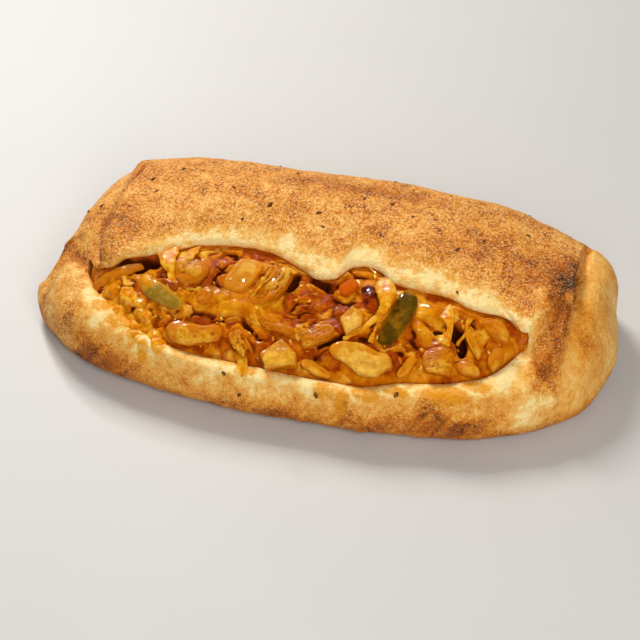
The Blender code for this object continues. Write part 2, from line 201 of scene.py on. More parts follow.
def addWetCoat(tree, shader, coords, size=2.4, strength=0.8):
    # broad smooth waves for the clear coat alone, so its glints stay clean
    addBump(tree, shader, grain(tree, coords, size, 0.0), 0.7, strength, "Coat Normal")


# small helpers for shapes
def ease(value, start, end):
    t = np.clip((value - start) / (end - start), 0.0, 1.0)
    return t * t * (3.0 - 2.0 * t)


def between(value, span):
    # rises from 0 to 1 over the span's first two values and falls again over its last two
    return ease(value, *span[:2]) * (1.0 - ease(value, *span[2:]))


def along(knots, x):
    # smooth curve through (x, value) knots, without overshoot
    kx, kv = np.array(knots, dtype=float).T
    gap = np.diff(kx)
    rise = np.diff(kv) / gap
    lean = np.zeros(len(kx))
    lean[0], lean[-1] = rise[0], rise[-1]
    product = rise[:-1] * rise[1:]
    total = np.where(product > 0, rise[:-1] + rise[1:], 1.0)
    lean[1:-1] = np.where(product > 0, 2.0 * product / total, 0.0)
    i = np.clip(np.searchsorted(kx, x) - 1, 0, len(kx) - 2)
    t = (x - kx[i]) / gap[i]
    value = kv[i] * (1 + 2 * t) * (1 - t) ** 2 + kv[i + 1] * t * t * (3 - 2 * t)
    return value + gap[i] * (lean[i] * t * (1 - t) ** 2 - lean[i + 1] * t * t * (1 - t))


def bumps(points, size, height=1.0, shift=0.0, stretch=(1.0, 1.0, 1.0)):
    # smooth noise bumps of about size mm on any array of points
    flat = (points.reshape(-1, 3) / (size * np.array(stretch)) + shift).tolist()
    return height * np.array([noise.noise(p) for p in flat]).reshape(points.shape[:-1])


def addPiece(name, points, faces, material, fields=None):
    # points in mm from the mouth
    mesh = bpy.data.meshes.new(name)
    mesh.from_pydata(((np.asarray(points) - middle) * millimetre).tolist(), [], faces)
    for field, values in (fields or {}).items():
        layer = mesh.attributes.new(field, "FLOAT", "POINT")
        layer.data.foreach_set("value", np.asarray(values, dtype=np.float32).ravel())
    mesh.materials.append(material)
    mesh.shade_smooth()
    return addObject(name, mesh)


def faceOutward(piece):
    skin = bmesh.new()
    skin.from_mesh(piece.data)
    bmesh.ops.recalc_face_normals(skin, faces=skin.faces)
    skin.to_mesh(piece.data)
    skin.free()


def pointTree(points):
    tree = KDTree(len(points))
    for i, place in enumerate(points.tolist()):
        tree.insert(place, i)
    tree.balance()
    return tree


def ringQuads(rings, count, closed=True):
    # the corners of every face between one ring of count points and the next
    i, j = np.meshgrid(np.arange(rings - 1), np.arange(count if closed else count - 1), indexing="ij")
    k = (j + 1) % count
    quads = np.stack([i * count + j, (i + 1) * count + j, (i + 1) * count + k, i * count + k], axis=-1)
    return quads.reshape(-1, 4)


def closeRings(grid, fields):
    # rings of points to closed faces, with a fan at each end
    rings, count = grid.shape[:2]
    faces = ringQuads(rings, count).tolist()
    points = np.concatenate([grid.reshape(-1, 3), grid[0].mean(0)[None], grid[-1].mean(0)[None]])
    for ring, hub, order in ((0, rings * count, 1), (rings - 1, rings * count + 1, -1)):
        for a in range(count):
            corner = (hub, ring * count + a, ring * count + (a + 1) % count)
            faces.append(corner[::order])
    full = {name: np.concatenate([value.ravel(), [value[0].mean(), value[-1].mean()]])
            for name, value in fields.items()}
    return points, faces, full


def outward(grid):
    # unit normals of a grid of rings
    alongRoll = np.gradient(grid, axis=0)
    roundRoll = np.roll(grid, -1, axis=1) - np.roll(grid, 1, axis=1)
    normal = np.cross(alongRoll, roundRoll)
    return normal / np.maximum(np.linalg.norm(normal, axis=2, keepdims=True), 1e-9)


# the roll of dough, in mm: most curves are (x, value) knots along it
roll = {
    "leftTip": (-131.0, -8.0),
    "rightTip": (132.0, 14.0),
    "tipHeight": 12.0,
    "endRound": 13.0,
    "floorThick": 8.5,
    "shellThick": 8.5,
    "lipThick": 6.2,
    "front": ((-131, -20), (-120, -27.5), (-110, -37), (-99, -44), (-87, -48), (-57, -53.5), (-19, -57),
              (25, -56.5), (71, -51.5), (89, -45.5), (102, -39), (113, -30), (122, -21), (132, -12)),
    "back": ((-131, -2), (-128, 3), (-125.5, 11), (-123, 23), (-119.5, 37), (-114, 50), (-106, 60), (-90, 65.5),
             (-27, 68.5), (45, 70), (76, 66.5), (92, 61.5), (106, 56.5), (116, 54), (124, 46), (132, 32)),
    "ridgeHeight": ((-131, 19), (-126, 24), (-120, 34), (-110, 44), (-98, 51), (-70, 56), (0, 58),
                    (60, 56.5), (90, 53), (108, 49), (120, 45), (132, 36)),
    "ridgePlace": ((-131, -11), (-128, -8), (-125, -1), (-121, 10), (-112, 22), (-95, 29), (0, 30),
                   (70, 28), (100, 24), (132, 16)),
    "lipPlace": ((-131, -5), (-125, 6), (-116, 1), (-104, -10), (-98, -14), (-92, -14.5), (-85, -11.3),
                 (-75, -8), (-63, -1.7), (-52, 3), (-35, 5.6), (-24, 5), (-8, -0.6), (1, -4.9), (9, -3.4),
                 (14, 4.2), (21, 5.4), (27, 3), (33, -1.9), (58, -4), (72, -8.2), (81, -8), (89, -10.9),
                 (94.5, -14), (99, -13.5), (105, -8), (132, 10)),
    "lipHeight": ((-131, 14), (-122, 23), (-110, 31), (-98, 36.5), (-92, 39), (-85, 43), (-40, 45.6),
                  (1, 43.5), (20, 46), (58, 44.5), (81, 42.5), (89, 41), (95, 38.5), (110, 37), (132, 24)),
    "wallPlace": ((-131, -12), (-125, -6), (-116, -8), (-107, -14), (-103, -18), (-95, -28), (-81, -36),
                  (-66, -45), (-43, -49.5), (17, -50.5), (28, -51), (47, -45), (68, -41), (82, -34.5),
                  (88, -28), (94.5, -19), (99, -21), (105, -26), (118, -12), (132, 2)),
    "wallHeight": ((-131, 14), (-122, 25), (-112, 30), (-103, 31), (-81, 28.5), (-43, 24.5), (10, 23.5),
                   (47, 25), (82, 27.5), (94, 30), (110, 29), (120, 26), (132, 16)),
    "mouth": (-105.0, -99.5, 89.0, 96.0),
    "leftClosed": (-129.0, -116.0),
    "rightClosed": (97.0, 113.0),
    "closedFullness": 2.2,
    "seamDepth": 3.5,
    "tuck": 0.26,
    "lobeDrop": 5.0,
    "stripX": (91.5, 96.5, 109.0, 113.0),
    "stripTip": ((90, -12), (95, -19), (100, -26), (107, -30), (112, -31)),
    "stripRise": 5.5,
    "stripFade": (-12.0, 24.0),
    "legX": (-102.5, -98.0),
    "legBump": (-94.0, 5.0, 4.0),       # x, reach, height
    "legBumpSpan": (-17.0, -11.0, 8.0, 40.0),
    "groove": {"depth": 1.5, "reach": 2.4, "span": (-34.0, -20.0, 14.0, 36.0)},     # beside the end strip
    "seams": {                          # folds in the dough: line in plan, depth, reach, how browned, partly painted shade in the fold
        "legValley": (((-97, 44), (-98, 27), (-99.5, 14), (-103, 7), (-101.5, -7), (-99, -15)), 3.4, 2.0, 0.12),
        "leftSeam": (((-122, -3.6), (-115, -4), (-106, -9), (-100, -15)), 3.6, 1.9, 0.20),
        "stripCrack": (((111.5, 46), (111.8, 25), (111.6, 7), (111.8, -5), (112, -15), (111.4, -23),
                        (108.5, -30), (103, -32)), 2.9, 1.3, 0.05),
    },
    "seamHeights": (15.0, 22.0),        # the folds fade out between these heights
    "lobeBack": {"rise": 3.2, "until": (122.0, 130.0), "from": (24.0, 40.0)},   # the right lobe's higher back
    "swell": (26.0, 1.2),               # size and height of the slow unevenness
    "stations": 436,
    "spans": {                          # where each part lies round the section, counted in corners
        "hollow": (9, 21),
        "rimTop": 8.3,
        "rim": (6.0, 12.0),
        "inside": (10.0, 21.2),
        "lipEdge": (18.0, 23.6),
        "nose": (20.0, 21.5),
        "lipTop": 22.0,
        "flap": (22.0, 31.0),
    },
    "perSpan": [2, 2, 4] + [8, 8, 9, 9, 8, 8] + [2] * 8 + [3, 3, 4, 5] + [6, 8, 8] + [12] * 5 + [9, 9, 8, 8, 6, 4],
    "skin": [0, 0, 0] + [0.2, 1, 1, 1, 0.6, 0] + [0] * 12 + [0, 0.6, 1] + [1] * 8 + [0.4, 0, 0],
    "fineSkin": [0, 0, 0.2] + [1] * 6 + [0.5, 0.2] + [0] * 8 + [0.3, 0.6] + [1] * 3 + [1] * 8 + [0.7, 0.2, 0],
    "busy": ((-131, 3, 6), (-125, 5, 2), (-101, 4, 1.4), (93, 4, 1.4), (111.5, 3, 1.6), (132, 4, 6)),
}


def spreadStations(count):
    # places along the roll, closer together where its shape is busy
    x = np.linspace(roll["leftTip"][0] + 0.15, roll["rightTip"][0] - 0.15, 4001)
    density = 1.0 + sum(weight * np.exp(-((x - place) / reach) ** 2) for place, reach, weight in roll["busy"])
    total = np.cumsum(density)
    total = (total - total[0]) / (total[-1] - total[0])
    return np.interp(np.linspace(0.0, 1.0, count), total, x)


def mouthOpen(x):
    # 0 where the roll is shut, 1 where its front is open
    return between(x, roll["mouth"])


def sectionParts(x, front, back, top, ridge, wallZ):
    # corners (y, z) of the open section at each x, in mm or as shares of its breadth and height
    lipY, lipZ = along(roll["lipPlace"], x), along(roll["lipHeight"], x)
    wallY = along(roll["wallPlace"], x)
    width = back - front
    flat = 0.0 * x
    tuck = roll["tuck"] * top * (1.0 - ease(x, -127.0, -112.0))
    floor, shell = roll["floorThick"], roll["shellThick"]

    under = [(front + 0.50 * width, flat), (front + 0.20 * width, flat), (front + 0.11 * width, flat)]
    wall = [(front + 0.035 * width, 0.02 * wallZ), (front - 0.8, 0.25 * wallZ),
            (front - 0.6, 0.60 * wallZ), (front + 0.3 * (wallY - front), 0.93 * wallZ),
            (wallY - 2.5, wallZ + 0.8), (wallY + 2.0, wallZ + 0.4)]
    hollow = [(wallY + 3.8, wallZ - 1.8), (wallY + 5.8, wallZ - 9.0),
              (wallY + 12.0, floor + flat), (0.5 * (wallY + back), floor + flat),
              (back - 20.0, floor + flat), (back - shell, 14.0 + flat),
              (back - shell, 0.55 * top), (back - 1.8 * shell, top - 1.6 * shell),
              (ridge, top - shell), (0.5 * (ridge + lipY), 0.5 * (top - shell + lipZ)),
              (lipY + 8.0, lipZ - 1.2), (lipY + 2.6, lipZ - 0.5 * roll["lipThick"])]
    nose = [(lipY - 2.2, lipZ - 1.5), (lipY - 1.8, lipZ + 2.4), (lipY + 4.0, lipZ + 4.4)]
    shutNose = [(lipY + 0.8, lipZ + 0.5), (lipY + 2.5, lipZ + 1.5), (lipY + 6.0, lipZ + 3.0)]
    brow = lipZ + 4.4
    flap = [(lipY + 0.40 * (ridge - lipY), brow + 0.50 * (top - brow)),
            (lipY + 0.72 * (ridge - lipY), brow + 0.88 * (top - brow)), (ridge, top + 0.4),
            (ridge + 0.40 * (back - ridge), 0.975 * top), (ridge + 0.80 * (back - ridge), 0.87 * top),
            (back - 0.01 * width, 0.66 * top), (back + 0.5, 0.42 * top), (back - 0.8, 0.18 * top + tuck),
            (back - 0.035 * width, 0.02 * top + tuck), (back - 0.10 * width, 0.7 * tuck),
            (back - 0.20 * width, 0.3 * tuck)]
    return [np.stack([np.stack(point, axis=1) for point in part], axis=1)
            for part in (under, wall, hollow, nose, shutNose, flap)]


def doughOutline(x):
    # corners (y, z) of the section at each x: underside, wall, hollow, lip and flap
    front, back = along(roll["front"], x), along(roll["back"], x)
    top, ridge, wallZ = (along(roll[name], x) for name in ("ridgeHeight", "ridgePlace", "wallHeight"))
    top = top - roll["lobeDrop"] * (1.0 - ease(x, *roll["legX"]) + ease(x, *roll["stripX"][2:]))
    under, wall, hollow, nose, shutNose, flap = sectionParts(x, front, back, top, ridge, wallZ)
    # where the roll is shut, wall and lip meet in a seam and the hollow closes up
    share = ((np.arange(hollow.shape[1]) + 1.0) / (hollow.shape[1] + 1.0))[None, :, None]
    shut = wall[:, -1:] + (shutNose[:, :1] - wall[:, -1:]) * share
    isOpen = mouthOpen(x)[:, None, None]
    start, end = roll["mouth"][0], roll["mouth"][-1]
    seam = roll["seamDepth"] * (1.0 - ease(x, start - 6.0, start)) - 1.0 * ease(x, end - 4.0, end)
    shut[:, :, 1] -= seam[:, None] * np.sin(math.pi * share[:, :, 0])
    hollow = shut + (hollow - shut) * isOpen
    nose = shutNose + (nose - shutNose) * isOpen
    ring = np.concatenate([under, wall, hollow, nose, flap], axis=1)

    # towards both ends the section turns into a plain dome
    closed = 1.0 - ease(x, *roll["leftClosed"]) + ease(x, *roll["rightClosed"])
    first, last = under.shape[1] + 2, ring.shape[1] - flap.shape[1] + 2
    turn = np.linspace(0.08, 0.96, last - first) * math.pi / 2.0
    reach, climb = (np.abs(f(turn)) ** (2.0 / roll["closedFullness"]) for f in (np.cos, np.sin))
    foot = 0.3 * wallZ
    arc = np.stack([ridge[:, None] - (ridge - front)[:, None] * reach,
                    foot[:, None] + (top - foot)[:, None] * climb], axis=2)
    ring[:, first:last] += (arc - ring[:, first:last]) * closed[:, None, None]

    for tipX, tipY in (roll["leftTip"], roll["rightTip"]):
        inward = np.clip(np.abs(x - tipX) / roll["endRound"], 0.0, 1.0)
        swell = np.sqrt(1.0 - (1.0 - inward) ** 2)[:, None, None]
        tip = np.array((tipY, roll["tipHeight"]))
        ring = tip + (ring - tip) * swell
    return ring


def rounded(ring, perSpan):
    # closed B-spline through the rings' corners
    count = ring.shape[1]
    curve = []
    for i, steps in enumerate(perSpan):
        for t in np.arange(steps) / steps:
            weights = ((1 - t) ** 3, 3 * t ** 3 - 6 * t * t + 4, -3 * t ** 3 + 3 * t * t + 3 * t + 1, t ** 3)
            curve.append(sum(w * ring[:, (i + j - 1) % count] for j, w in enumerate(weights)) / 6.0)
    return np.stack(curve, axis=1)


def withX(x, curves):
    # sections (y, z) to points (x, y, z)
    across = np.broadcast_to(x[:, None, None], curves.shape[:2] + (1,))
    return np.concatenate([across, curves], axis=2)


def spanPlaces(perSpan):
    # where each point of a ring lies, counted in corners
    return np.concatenate([i + np.arange(n) / n for i, n in enumerate(perSpan)])


def bySpan(values, perSpan):
    # a value for each corner, blended along the ring
    places = spanPlaces(perSpan)
    ends = np.append(values, values[0]).astype(float)
    return np.interp(places, np.arange(len(values) + 1), ends)


def nearLine(x, y, points):
    # distance in plan to a line of points
    best = np.full(x.shape, 1e9)
    for (ax, ay), (bx, by) in zip(points[:-1], points[1:]):
        length = (bx - ax) ** 2 + (by - ay) ** 2
        t = np.clip(((x - ax) * (bx - ax) + (y - ay) * (by - ay)) / length, 0.0, 1.0)
        best = np.minimum(best, np.hypot(x - ax - t * (bx - ax), y - ay - t * (by - ay)))
    return best


def doughRelief(x, y, z):
    # how far the end strip, the leg and the folds stand out or in
    upper = ease(z, 12.0, 20.0)
    tip = roll["stripTip"]
    stripEnd = along(tip, np.clip(x, tip[0][0], tip[-1][0]))
    c, d = roll["stripX"][2:]
    rise = roll["stripRise"] * between(x, roll["stripX"]) * ease(y, stripEnd - 2.0, stripEnd + 3.5) * upper
    rise *= 1.0 - ease(y, *roll["stripFade"])
    place, reach, height = roll["legBump"]
    rise += height * np.exp(-((x - place) / reach) ** 2) * between(y, roll["legBumpSpan"])
    groove, back = roll["groove"], roll["lobeBack"]
    stripEdge = np.exp(-((x - d - 0.5) / groove["reach"]) ** 2) * between(y, groove["span"])
    rise += back["rise"] * ease(x, c, d) * (1.0 - ease(x, *back["until"])) * ease(y, *back["from"])
    rise -= groove["depth"] * stripEdge * upper
    for line, depth, reach, _ in roll["seams"].values():
        rise -= depth * np.exp(-(nearLine(x, y, line) / reach) ** 2) * ease(z, *roll["seamHeights"])
    return rise


# browner patches of the crust: x, y, z, reach along, reach across, how much browner
bakedPatches = {
    "legShoulder": (-98.5, 2, 46, 3.6, 8, 0.20),
    "legFoot": (-93, -12, 42, 4, 4, 0.10),
    "flapLeftEnd": (-91, 8, 51, 8, 10, 0.10),
    "flapLeftBack": (-90, 40, 52, 12, 14, 0.08),
    "flapLeftDip": (-84, 2, 49, 8, 5, 0.14),
    "backRidge": (-20, 44, 56, 40, 7, 0.14),
    "backRidgeRight": (25, 44, 56, 30, 7, 0.16),
    "flapMiddle": (-5, 22, 55, 26, 7, 0.05),
    "flapDimple": (23, 15, 55, 9, 6, 0.12),
    "flapRight": (70, 20, 54, 22, 13, 0.16),
    "flapFarRight": (96, 14, 50, 13, 14, 0.21),
    "burntCorner": (106.5, 15, 50, 5.0, 7, 0.10),
    "stripTop": (106, 4, 46, 5.5, 7, 0.12),
    "stripShoulder": (98.5, 5, 46, 7.0, 8, 0.20),
    "stripTip": (104, -25.5, 30, 5.5, 4.0, 0.12),
    "valley": (118.5, 4, 38, 4.4, 11, 0.20),
    "valleyFront": (119.5, -8, 32, 4.0, 8, 0.16),
    "lobeLine": (115, -2, 40, 2.2, 12, 0.16),
    "lobeSpot": (-121, 5, 26, 4.2, 4, 0.28),
    "lobeSpotLow": (-114, 0, 29, 3.4, 3.0, 0.22),
    "lobeUpper": (-110, 16, 40, 7, 7, 0.10),
    "lobeFace": (125, -8, 24, 7, 11, 0.10),
    "leftEnd": (-124, -20, 15, 4, 9, 0.26),
    "leftFront": (-94, -45, 15, 10, 9, 0.26),
    "leftFoot": (-99, -41, 4, 10, 8, 0.12),
    "leftFrontTwo": (-79, -50, 14, 8, 9, 0.28),
    "leftShoulder": (-103, -37, 21, 10, 8, 0.18),
    "wallSpot": (-26, -55, 20, 5, 4, 0.14),
    "wallMiddle": (1, -57, 9, 20, 5, 0.22),
    "wallRight": (41, -56, 11, 15, 7, 0.26),
    "wallRightTwo": (60, -52, 17, 10, 7, 0.28),
    "rimRight": (71, -47, 24, 11, 6, 0.26),
    "wallRightFoot": (75, -51, 13, 11, 8, 0.24),
    "wallDrip": (25, -56, 19, 6, 4, 0.22),
    "backLow": (-40, 69, 20, 50, 12, 0.18),
    "backRight": (60, 68, 25, 30, 12, 0.22),
}

crust = {
    "base": (0.56, 0.56, 0.56, 0.58, 0.52, 0.38, 0.15, 0.0, 0.04) + (0.04,) * 12 + (0.02, 0.02, 0.08)
            + (0.42, 0.46, 0.46, 0.50, 0.48, 0.42, 0.36, 0.34, 0.42, 0.54, 0.54),   # browning round the section; the wall darkens towards its foot, partly baking and partly painted shade
    "creamWidth": ((-131, 0), (-98, 0.5), (-85, 2), (-60, 3.5), (-30, 5), (0, 8), (20, 7), (40, 6), (60, 6),
                   (75, 5), (90, 2), (97, 0), (132, 0)),
    "flapBase": 0.48,
    "noseBrown": 0.34,                  # the flap's folded edge, left of the mouth
    "lobeBase": 0.23,                   # the right lobe stays paler
    "leftBase": 0.42,
    "leftPaler": 0.12,                  # the left end, towards the front
    "footBrownAndShade": 0.16,                  # browner along its foot, partly baking and partly painted shade
    "slowBrown": (16.0, 0.10),          # size and strength of the slow change in browning
    "waves": (15.0, 0.55),
    "lumps": (6.5, 0.32),
    "skinPits": (2.4, 0.16),
    "blisters": (                       # x, y, z, reach, height
        (-43, 20, 56, 3.2, 0.9), (-66, 14, 55, 2.6, 0.6), (-20, 30, 57, 4.0, 0.6), (38, 34, 57, 4.5, 0.7),
        (60, 8, 53, 3.4, 0.6), (12, 26, 57, 3.0, 0.5), (-75, 30, 55, 4.2, 0.7), (84, 26, 53, 4.0, 0.7),
        (-121, 8, 29, 4.0, 1.1), (-95, -5, 47, 4.0, 0.9), (-30, -55.5, 6, 2.2, 1.0), (6, -57, 5, 2.6, 1.1),
        (33, -57, 5, 2.2, 1.0), (58, -54, 6, 3.0, 0.9), (-60, -53, 6, 2.4, 0.8), (-97, 50, 40, 5.0, 1.2),
        (-107, 19, 42, 3.0, 1.2), (-114, 20, 36, 3.2, 1.2), (-112, 8, 36, 2.8, 1.0), (-103, 24, 45, 3.0, 0.9),
        (20, 66, 38, 5.0, 1.0), (-45, 67, 30, 4.2, 0.9), (70, 64, 34, 4.6, 1.0), (-10, 69, 18, 3.8, 0.8),
    ),
    "crease": ((77, -4), (84, -9), (90, -14), (93, -19)),      # fold in the flap's right end, in plan
    "creaseDepth": 1.1,
    "creaseReach": 0.9,
    "colours": (                        # how brown, then the colour
        (0.00, (1.0, 0.770, 0.340)),
        (0.14, (0.93, 0.545, 0.140)),
        (0.30, (0.84, 0.390, 0.068)),
        (0.46, (0.75, 0.280, 0.026)),
        (0.60, (0.60, 0.180, 0.012)),
        (0.74, (0.40, 0.096, 0.006)),
        (0.88, (0.185, 0.042, 0.006)),
        (1.00, (0.060, 0.018, 0.006)),
    ),
    # pale flour grains, partly painted highlight where grains glint
    "flourAndGlintColour": (1.0, 0.65, 0.27),
    "warmth": (1.0, 0.92, 0.42),        # takes the grey out of the smooth brown parts
    "oilColour": (0.80, 0.32, 0.008),
    "noise": {"fine": (0.75, 2.0, 0.65), "small": (1.5, 2.0, 0.6), "mid": (3.2, 3.0, 0.6), "wide": (9.0, 3.0, 0.55),
              "flour": (1.0, 2.0, 0.75)},       # size in mm, detail, roughness
    "cloud": {"mid": 0.50, "wide": 0.78},
    "speckle": {"fine": 1.10, "small": 1.15, "most": 0.17},
    "stripLine": ((108.5, 22), (108.5, 6), (108.5, -8), (107.5, -18), (105, -28)),     # its brownest line
    "stripBrown": (4.8, 0.26),          # its reach and how brown
    "stripBase": 0.44,
    "besideStrip": 0.14,                # cream dough between the mouth and the strip
    "drips": (                          # sauce that ran over the rim: x, y, half long, half wide
        (-72, -43.5, 3.6, 5.5), (-81, -39, 6.0, 3.6), (-67, -49, 2.2, 4.0), (-91, -33, 5.0, 3.4),
        (-60, -48, 4.0, 2.6), (16, -52.5, 7.0, 3.0), (24, -54.5, 3.2, 3.4), (33, -52.5, 6.0, 2.6),
        (66, -45.5, 10.0, 4.2), (-20, -51.5, 5.0, 2.2), (78, -39.5, 7.0, 3.2), (46, -48.5, 6.0, 2.0),
    ),
    "dripBrown": 0.22,
    "dust": {"wall": 0.62, "lobe": 0.42, "left": 0.85, "strip": 0.75},     # how grainy it is there; the flap is 1
}


def crustDetail(grid):
    # low waves, pits and blisters of the skin
    x, y, z = grid[:, :, 0], grid[:, :, 1], grid[:, :, 2]
    rise = bumps(grid, *crust["waves"], shift=3.7, stretch=(1.7, 1.0, 1.0))
    rise += bumps(grid, *crust["lumps"], shift=9.1)
    rise += bumps(grid, *crust["skinPits"], shift=17.3)
    for bx, by, bz, reach, height in crust["blisters"]:
        away = (x - bx) ** 2 + (y - by) ** 2 + (z - bz) ** 2
        rise += height * np.exp(-away / reach ** 2)
    fold = nearLine(x, y, crust["crease"]) / crust["creaseReach"]
    rise -= crust["creaseDepth"] * np.exp(-fold ** 2) * ease(z, 30.0, 36.0)
    return rise


def addBrownPatches(bake, x, y, z, ragged):
    slanted = np.stack([x - 0.74 * z, 0.3 * y, 0.12 * z], axis=2)       # creases run down to the left
    streaks = bumps(slanted, 2.6, 1.3, shift=2.0)
    for px, py, pz, reach, across, amount in bakedPatches.values():
        away = ((x - px) / reach) ** 2 + ((y - py) ** 2 + (z - pz) ** 2) / across ** 2
        patch = np.exp(-(away * (1.0 + 0.5 * ragged / 2.6)).clip(0.0, 9.0))
        bake += amount * patch * (1.0 + 0.7 * streaks * (pz < 22))
    # folds are browner, partly baking and partly painted shade
    for line, _, seamReach, foldBrownAndShade in roll["seams"].values():
        bake += foldBrownAndShade * np.exp(-(nearLine(x, y, line) / (2.0 * seamReach)) ** 2) * ease(z, *roll["seamHeights"])


def dripMap(x, y, z, ragged):
    drips = np.zeros_like(x)
    for dx, dy, reach, across in crust["drips"]:
        away = ((x - dx + 0.5 * ragged) / reach) ** 2 + ((y - dy + 0.3 * ragged) / across) ** 2
        drips = np.maximum(drips, 1.0 - ease(away, 0.5, 1.2))
    return drips * ease(z, 12.0, 18.0)


def bakeMap(grid, arcLip, arcRim, places):
    # how brown, how oily and how grainy the crust is at every point
    x, y, z = grid[:, :, 0], grid[:, :, 1], grid[:, :, 2]
    bake = np.broadcast_to(bySpan(crust["base"], roll["perSpan"]), x.shape).copy()
    spans = roll["spans"]
    onFlap, onRim, isInside, onLip = (((places > spans[part][0]) & (places < spans[part][1]))[None, :]
                                      for part in ("flap", "rim", "inside", "lipEdge"))
    width = along(crust["creamWidth"], x)
    ragged = bumps(grid, 6.0, 2.6, shift=5.0) + bumps(grid, 2.0, 1.2, shift=8.0)
    cream = (1.0 - ease(arcLip + ragged, 0.55 * width, 1.5 * width + 4.0)) * ease(x, -90.0, -72.0)
    bake = np.where(onFlap, crust["flapBase"] * (1.0 - cream), bake)
    onNose = ease(places, *spans["nose"])[None, :] * (1.0 - onFlap)
    bake += crust["noseBrown"] * onNose * (1.0 - ease(x, -90.0, -72.0))
    rightLobe = ease(x, roll["stripX"][3] - 2.5, roll["stripX"][3] + 0.5)
    leftLobe = 1.0 - ease(x, roll["legX"][0] - 2.0, roll["legX"][1])
    upper = ease(z, 4.0, 14.0)
    bake += (crust["lobeBase"] - bake) * rightLobe * upper
    bake += (crust["leftBase"] - crust["leftPaler"] * (1.0 - ease(y, -20.0, 4.0)) - bake) * leftLobe * upper
    closedRight = ease(x, 91.0, 99.0) * (1.0 - rightLobe) * (1.0 - ease(y, -2.0, 10.0))
    stripFoot = along(roll["stripTip"], np.clip(x, roll["stripTip"][0][0], roll["stripTip"][-1][0]))
    onStrip = ease(y + 0.4 * ragged, stripFoot - 2.0, stripFoot + 2.5) * ease(x + 0.4 * ragged, 96.0, 100.5)
    stripTone = crust["besideStrip"] + (crust["stripBase"] - crust["besideStrip"]) * onStrip
    bake += (stripTone - bake) * closedRight * upper
    reach, amount = crust["stripBrown"]
    strip = np.exp(-(nearLine(x, y, crust["stripLine"]) / (reach * (1.0 + 0.12 * ragged))) ** 2)
    bake += amount * strip * (1.0 - 0.85 * rightLobe) * ease(z, 20.0, 26.0)
    addBrownPatches(bake, x, y, z, ragged)
    bake += bumps(grid, *crust["slowBrown"], shift=21.0)
    # painted shade and browning along the foot
    bake += crust["footBrownAndShade"] * (1.0 - ease(z, 0.2, 3.0))
    drips = dripMap(x, y, z, ragged)
    bake += crust["dripBrown"] * drips

    freckle = ease(bumps(grid, 2.2, 1.0, shift=13.0), 0.05, 0.45)
    oil = np.exp(-((arcLip - width * 1.15) / (0.45 * width + 3.0)) ** 2) * ease(width, 1.0, 4.0) * onFlap * freckle
    rim = np.exp(-(arcRim.clip(0.0, None) / 2.6) ** 2) * onRim
    oil = np.maximum(oil, np.maximum(0.45 * rim * mouthOpen(x), drips))
    inside = isInside * mouthOpen(x)
    stained = ease(-arcLip + 0.5 * ragged, 1.2, 3.6) * onLip        # the lip's lower edge
    oil = np.maximum(np.maximum(oil, 0.8 * inside), 0.9 * stained * mouthOpen(x)).clip(0.0, 1.0)

    dust = np.where(places[None, :] > spans["nose"][0], 1.0, crust["dust"]["wall"]) + 0.0 * x
    dust += (crust["dust"]["lobe"] - dust) * rightLobe + (crust["dust"]["left"] - dust) * leftLobe
    dust += (crust["dust"]["strip"] - dust) * closedRight
    return {"bake": bake.clip(0.0, 1.0), "oil": oil, "dust": dust}


def ringArc(grid, places, start):
    # distance along each ring from the point at span place start, positive onwards
    step = np.linalg.norm(np.roll(grid, -1, axis=1) - grid, axis=2)
    total = np.cumsum(step, axis=1) - step
    origin = total[:, np.searchsorted(places, start)]
    return total - origin[:, None]


def crustMaterial():
    material, tree, shader = newMaterial("bakedCrust", Specular_IOR_Level=0.16, Subsurface_Weight=0.06,
                                         Subsurface_Scale=0.002)
    shader.inputs["Subsurface Radius"].default_value = (1.0, 0.5, 0.2)
    coords = objectCoords(tree)
    other = objectCoords(tree, shift=(0.31, 0.17, 0.05))
    bake, oil, dust = (readField(tree, name) for name in ("bake", "oil", "dust"))
    noises = crust["noise"]
    fine, mid = (grain(tree, coords, *noises[name]) for name in ("fine", "mid"))
    small, wide, flour = (grain(tree, other, *noises[name]) for name in ("small", "wide", "flour"))

    amount = times(tree, dust, spread(tree, bake, 0.05, 0.45, 0.30, 1.0))
    cloud = plus(tree, swing(tree, mid, crust["cloud"]["mid"]), swing(tree, wide, crust["cloud"]["wide"]))
    cloud = times(tree, cloud, spread(tree, dust, 0.42, 0.62, 0.85, 1.25))
    cloud = times(tree, cloud, spread(tree, bake, 0.50, 0.80, 1.0, 0.45))
    speckle = plus(tree, swing(tree, fine, crust["speckle"]["fine"]), swing(tree, small, crust["speckle"]["small"]))
    speckle = times(tree, speckle, spread(tree, bake, 0.42, 0.75, 1.0, 0.40))      # brown parts are smoother
    speckle = maths(tree, "MINIMUM", times(tree, speckle, amount), crust["speckle"]["most"])
    colour = colourRamp(tree, plus(tree, plus(tree, bake, cloud), speckle), crust["colours"])

    # pale grains: flour, partly painted highlight of their glints
    flour = times(tree, spread(tree, flour, 0.50, 0.62, 0.0, 0.78), amount)
    flour = times(tree, flour, spread(tree, bake, 0.45, 0.75, 1.0, 0.35))
    colour = mixColour(tree, flour, colour, crust["flourAndGlintColour"])
    warm = times(tree, spread(tree, dust, 0.30, 0.90, 1.0, 0.0), spread(tree, bake, 0.22, 0.60))
    colour = mixColour(tree, warm, colour, crust["warmth"], "MULTIPLY")
    soaked = maths(tree, "MULTIPLY", oil, spread(tree, mid, 0.35, 0.62, 0.25, 0.95), clamp=True)
    colour = mixColour(tree, soaked, colour, crust["oilColour"])
    tree.links.new(colour, shader.inputs["Base Color"])
    rough = maths(tree, "SUBTRACT", spread(tree, fine, 0.3, 0.7, 0.42, 0.70), times(tree, oil, 0.2))
    tree.links.new(rough, shader.inputs["Roughness"])
    height = plus(tree, times(tree, fine, 0.6), times(tree, small, 1.1))
    height = times(tree, height, spread(tree, dust, 0.3, 1.0, 0.45, 1.0))
    addBump(tree, shader, plus(tree, height, times(tree, mid, 0.9)), 0.75)
    return material


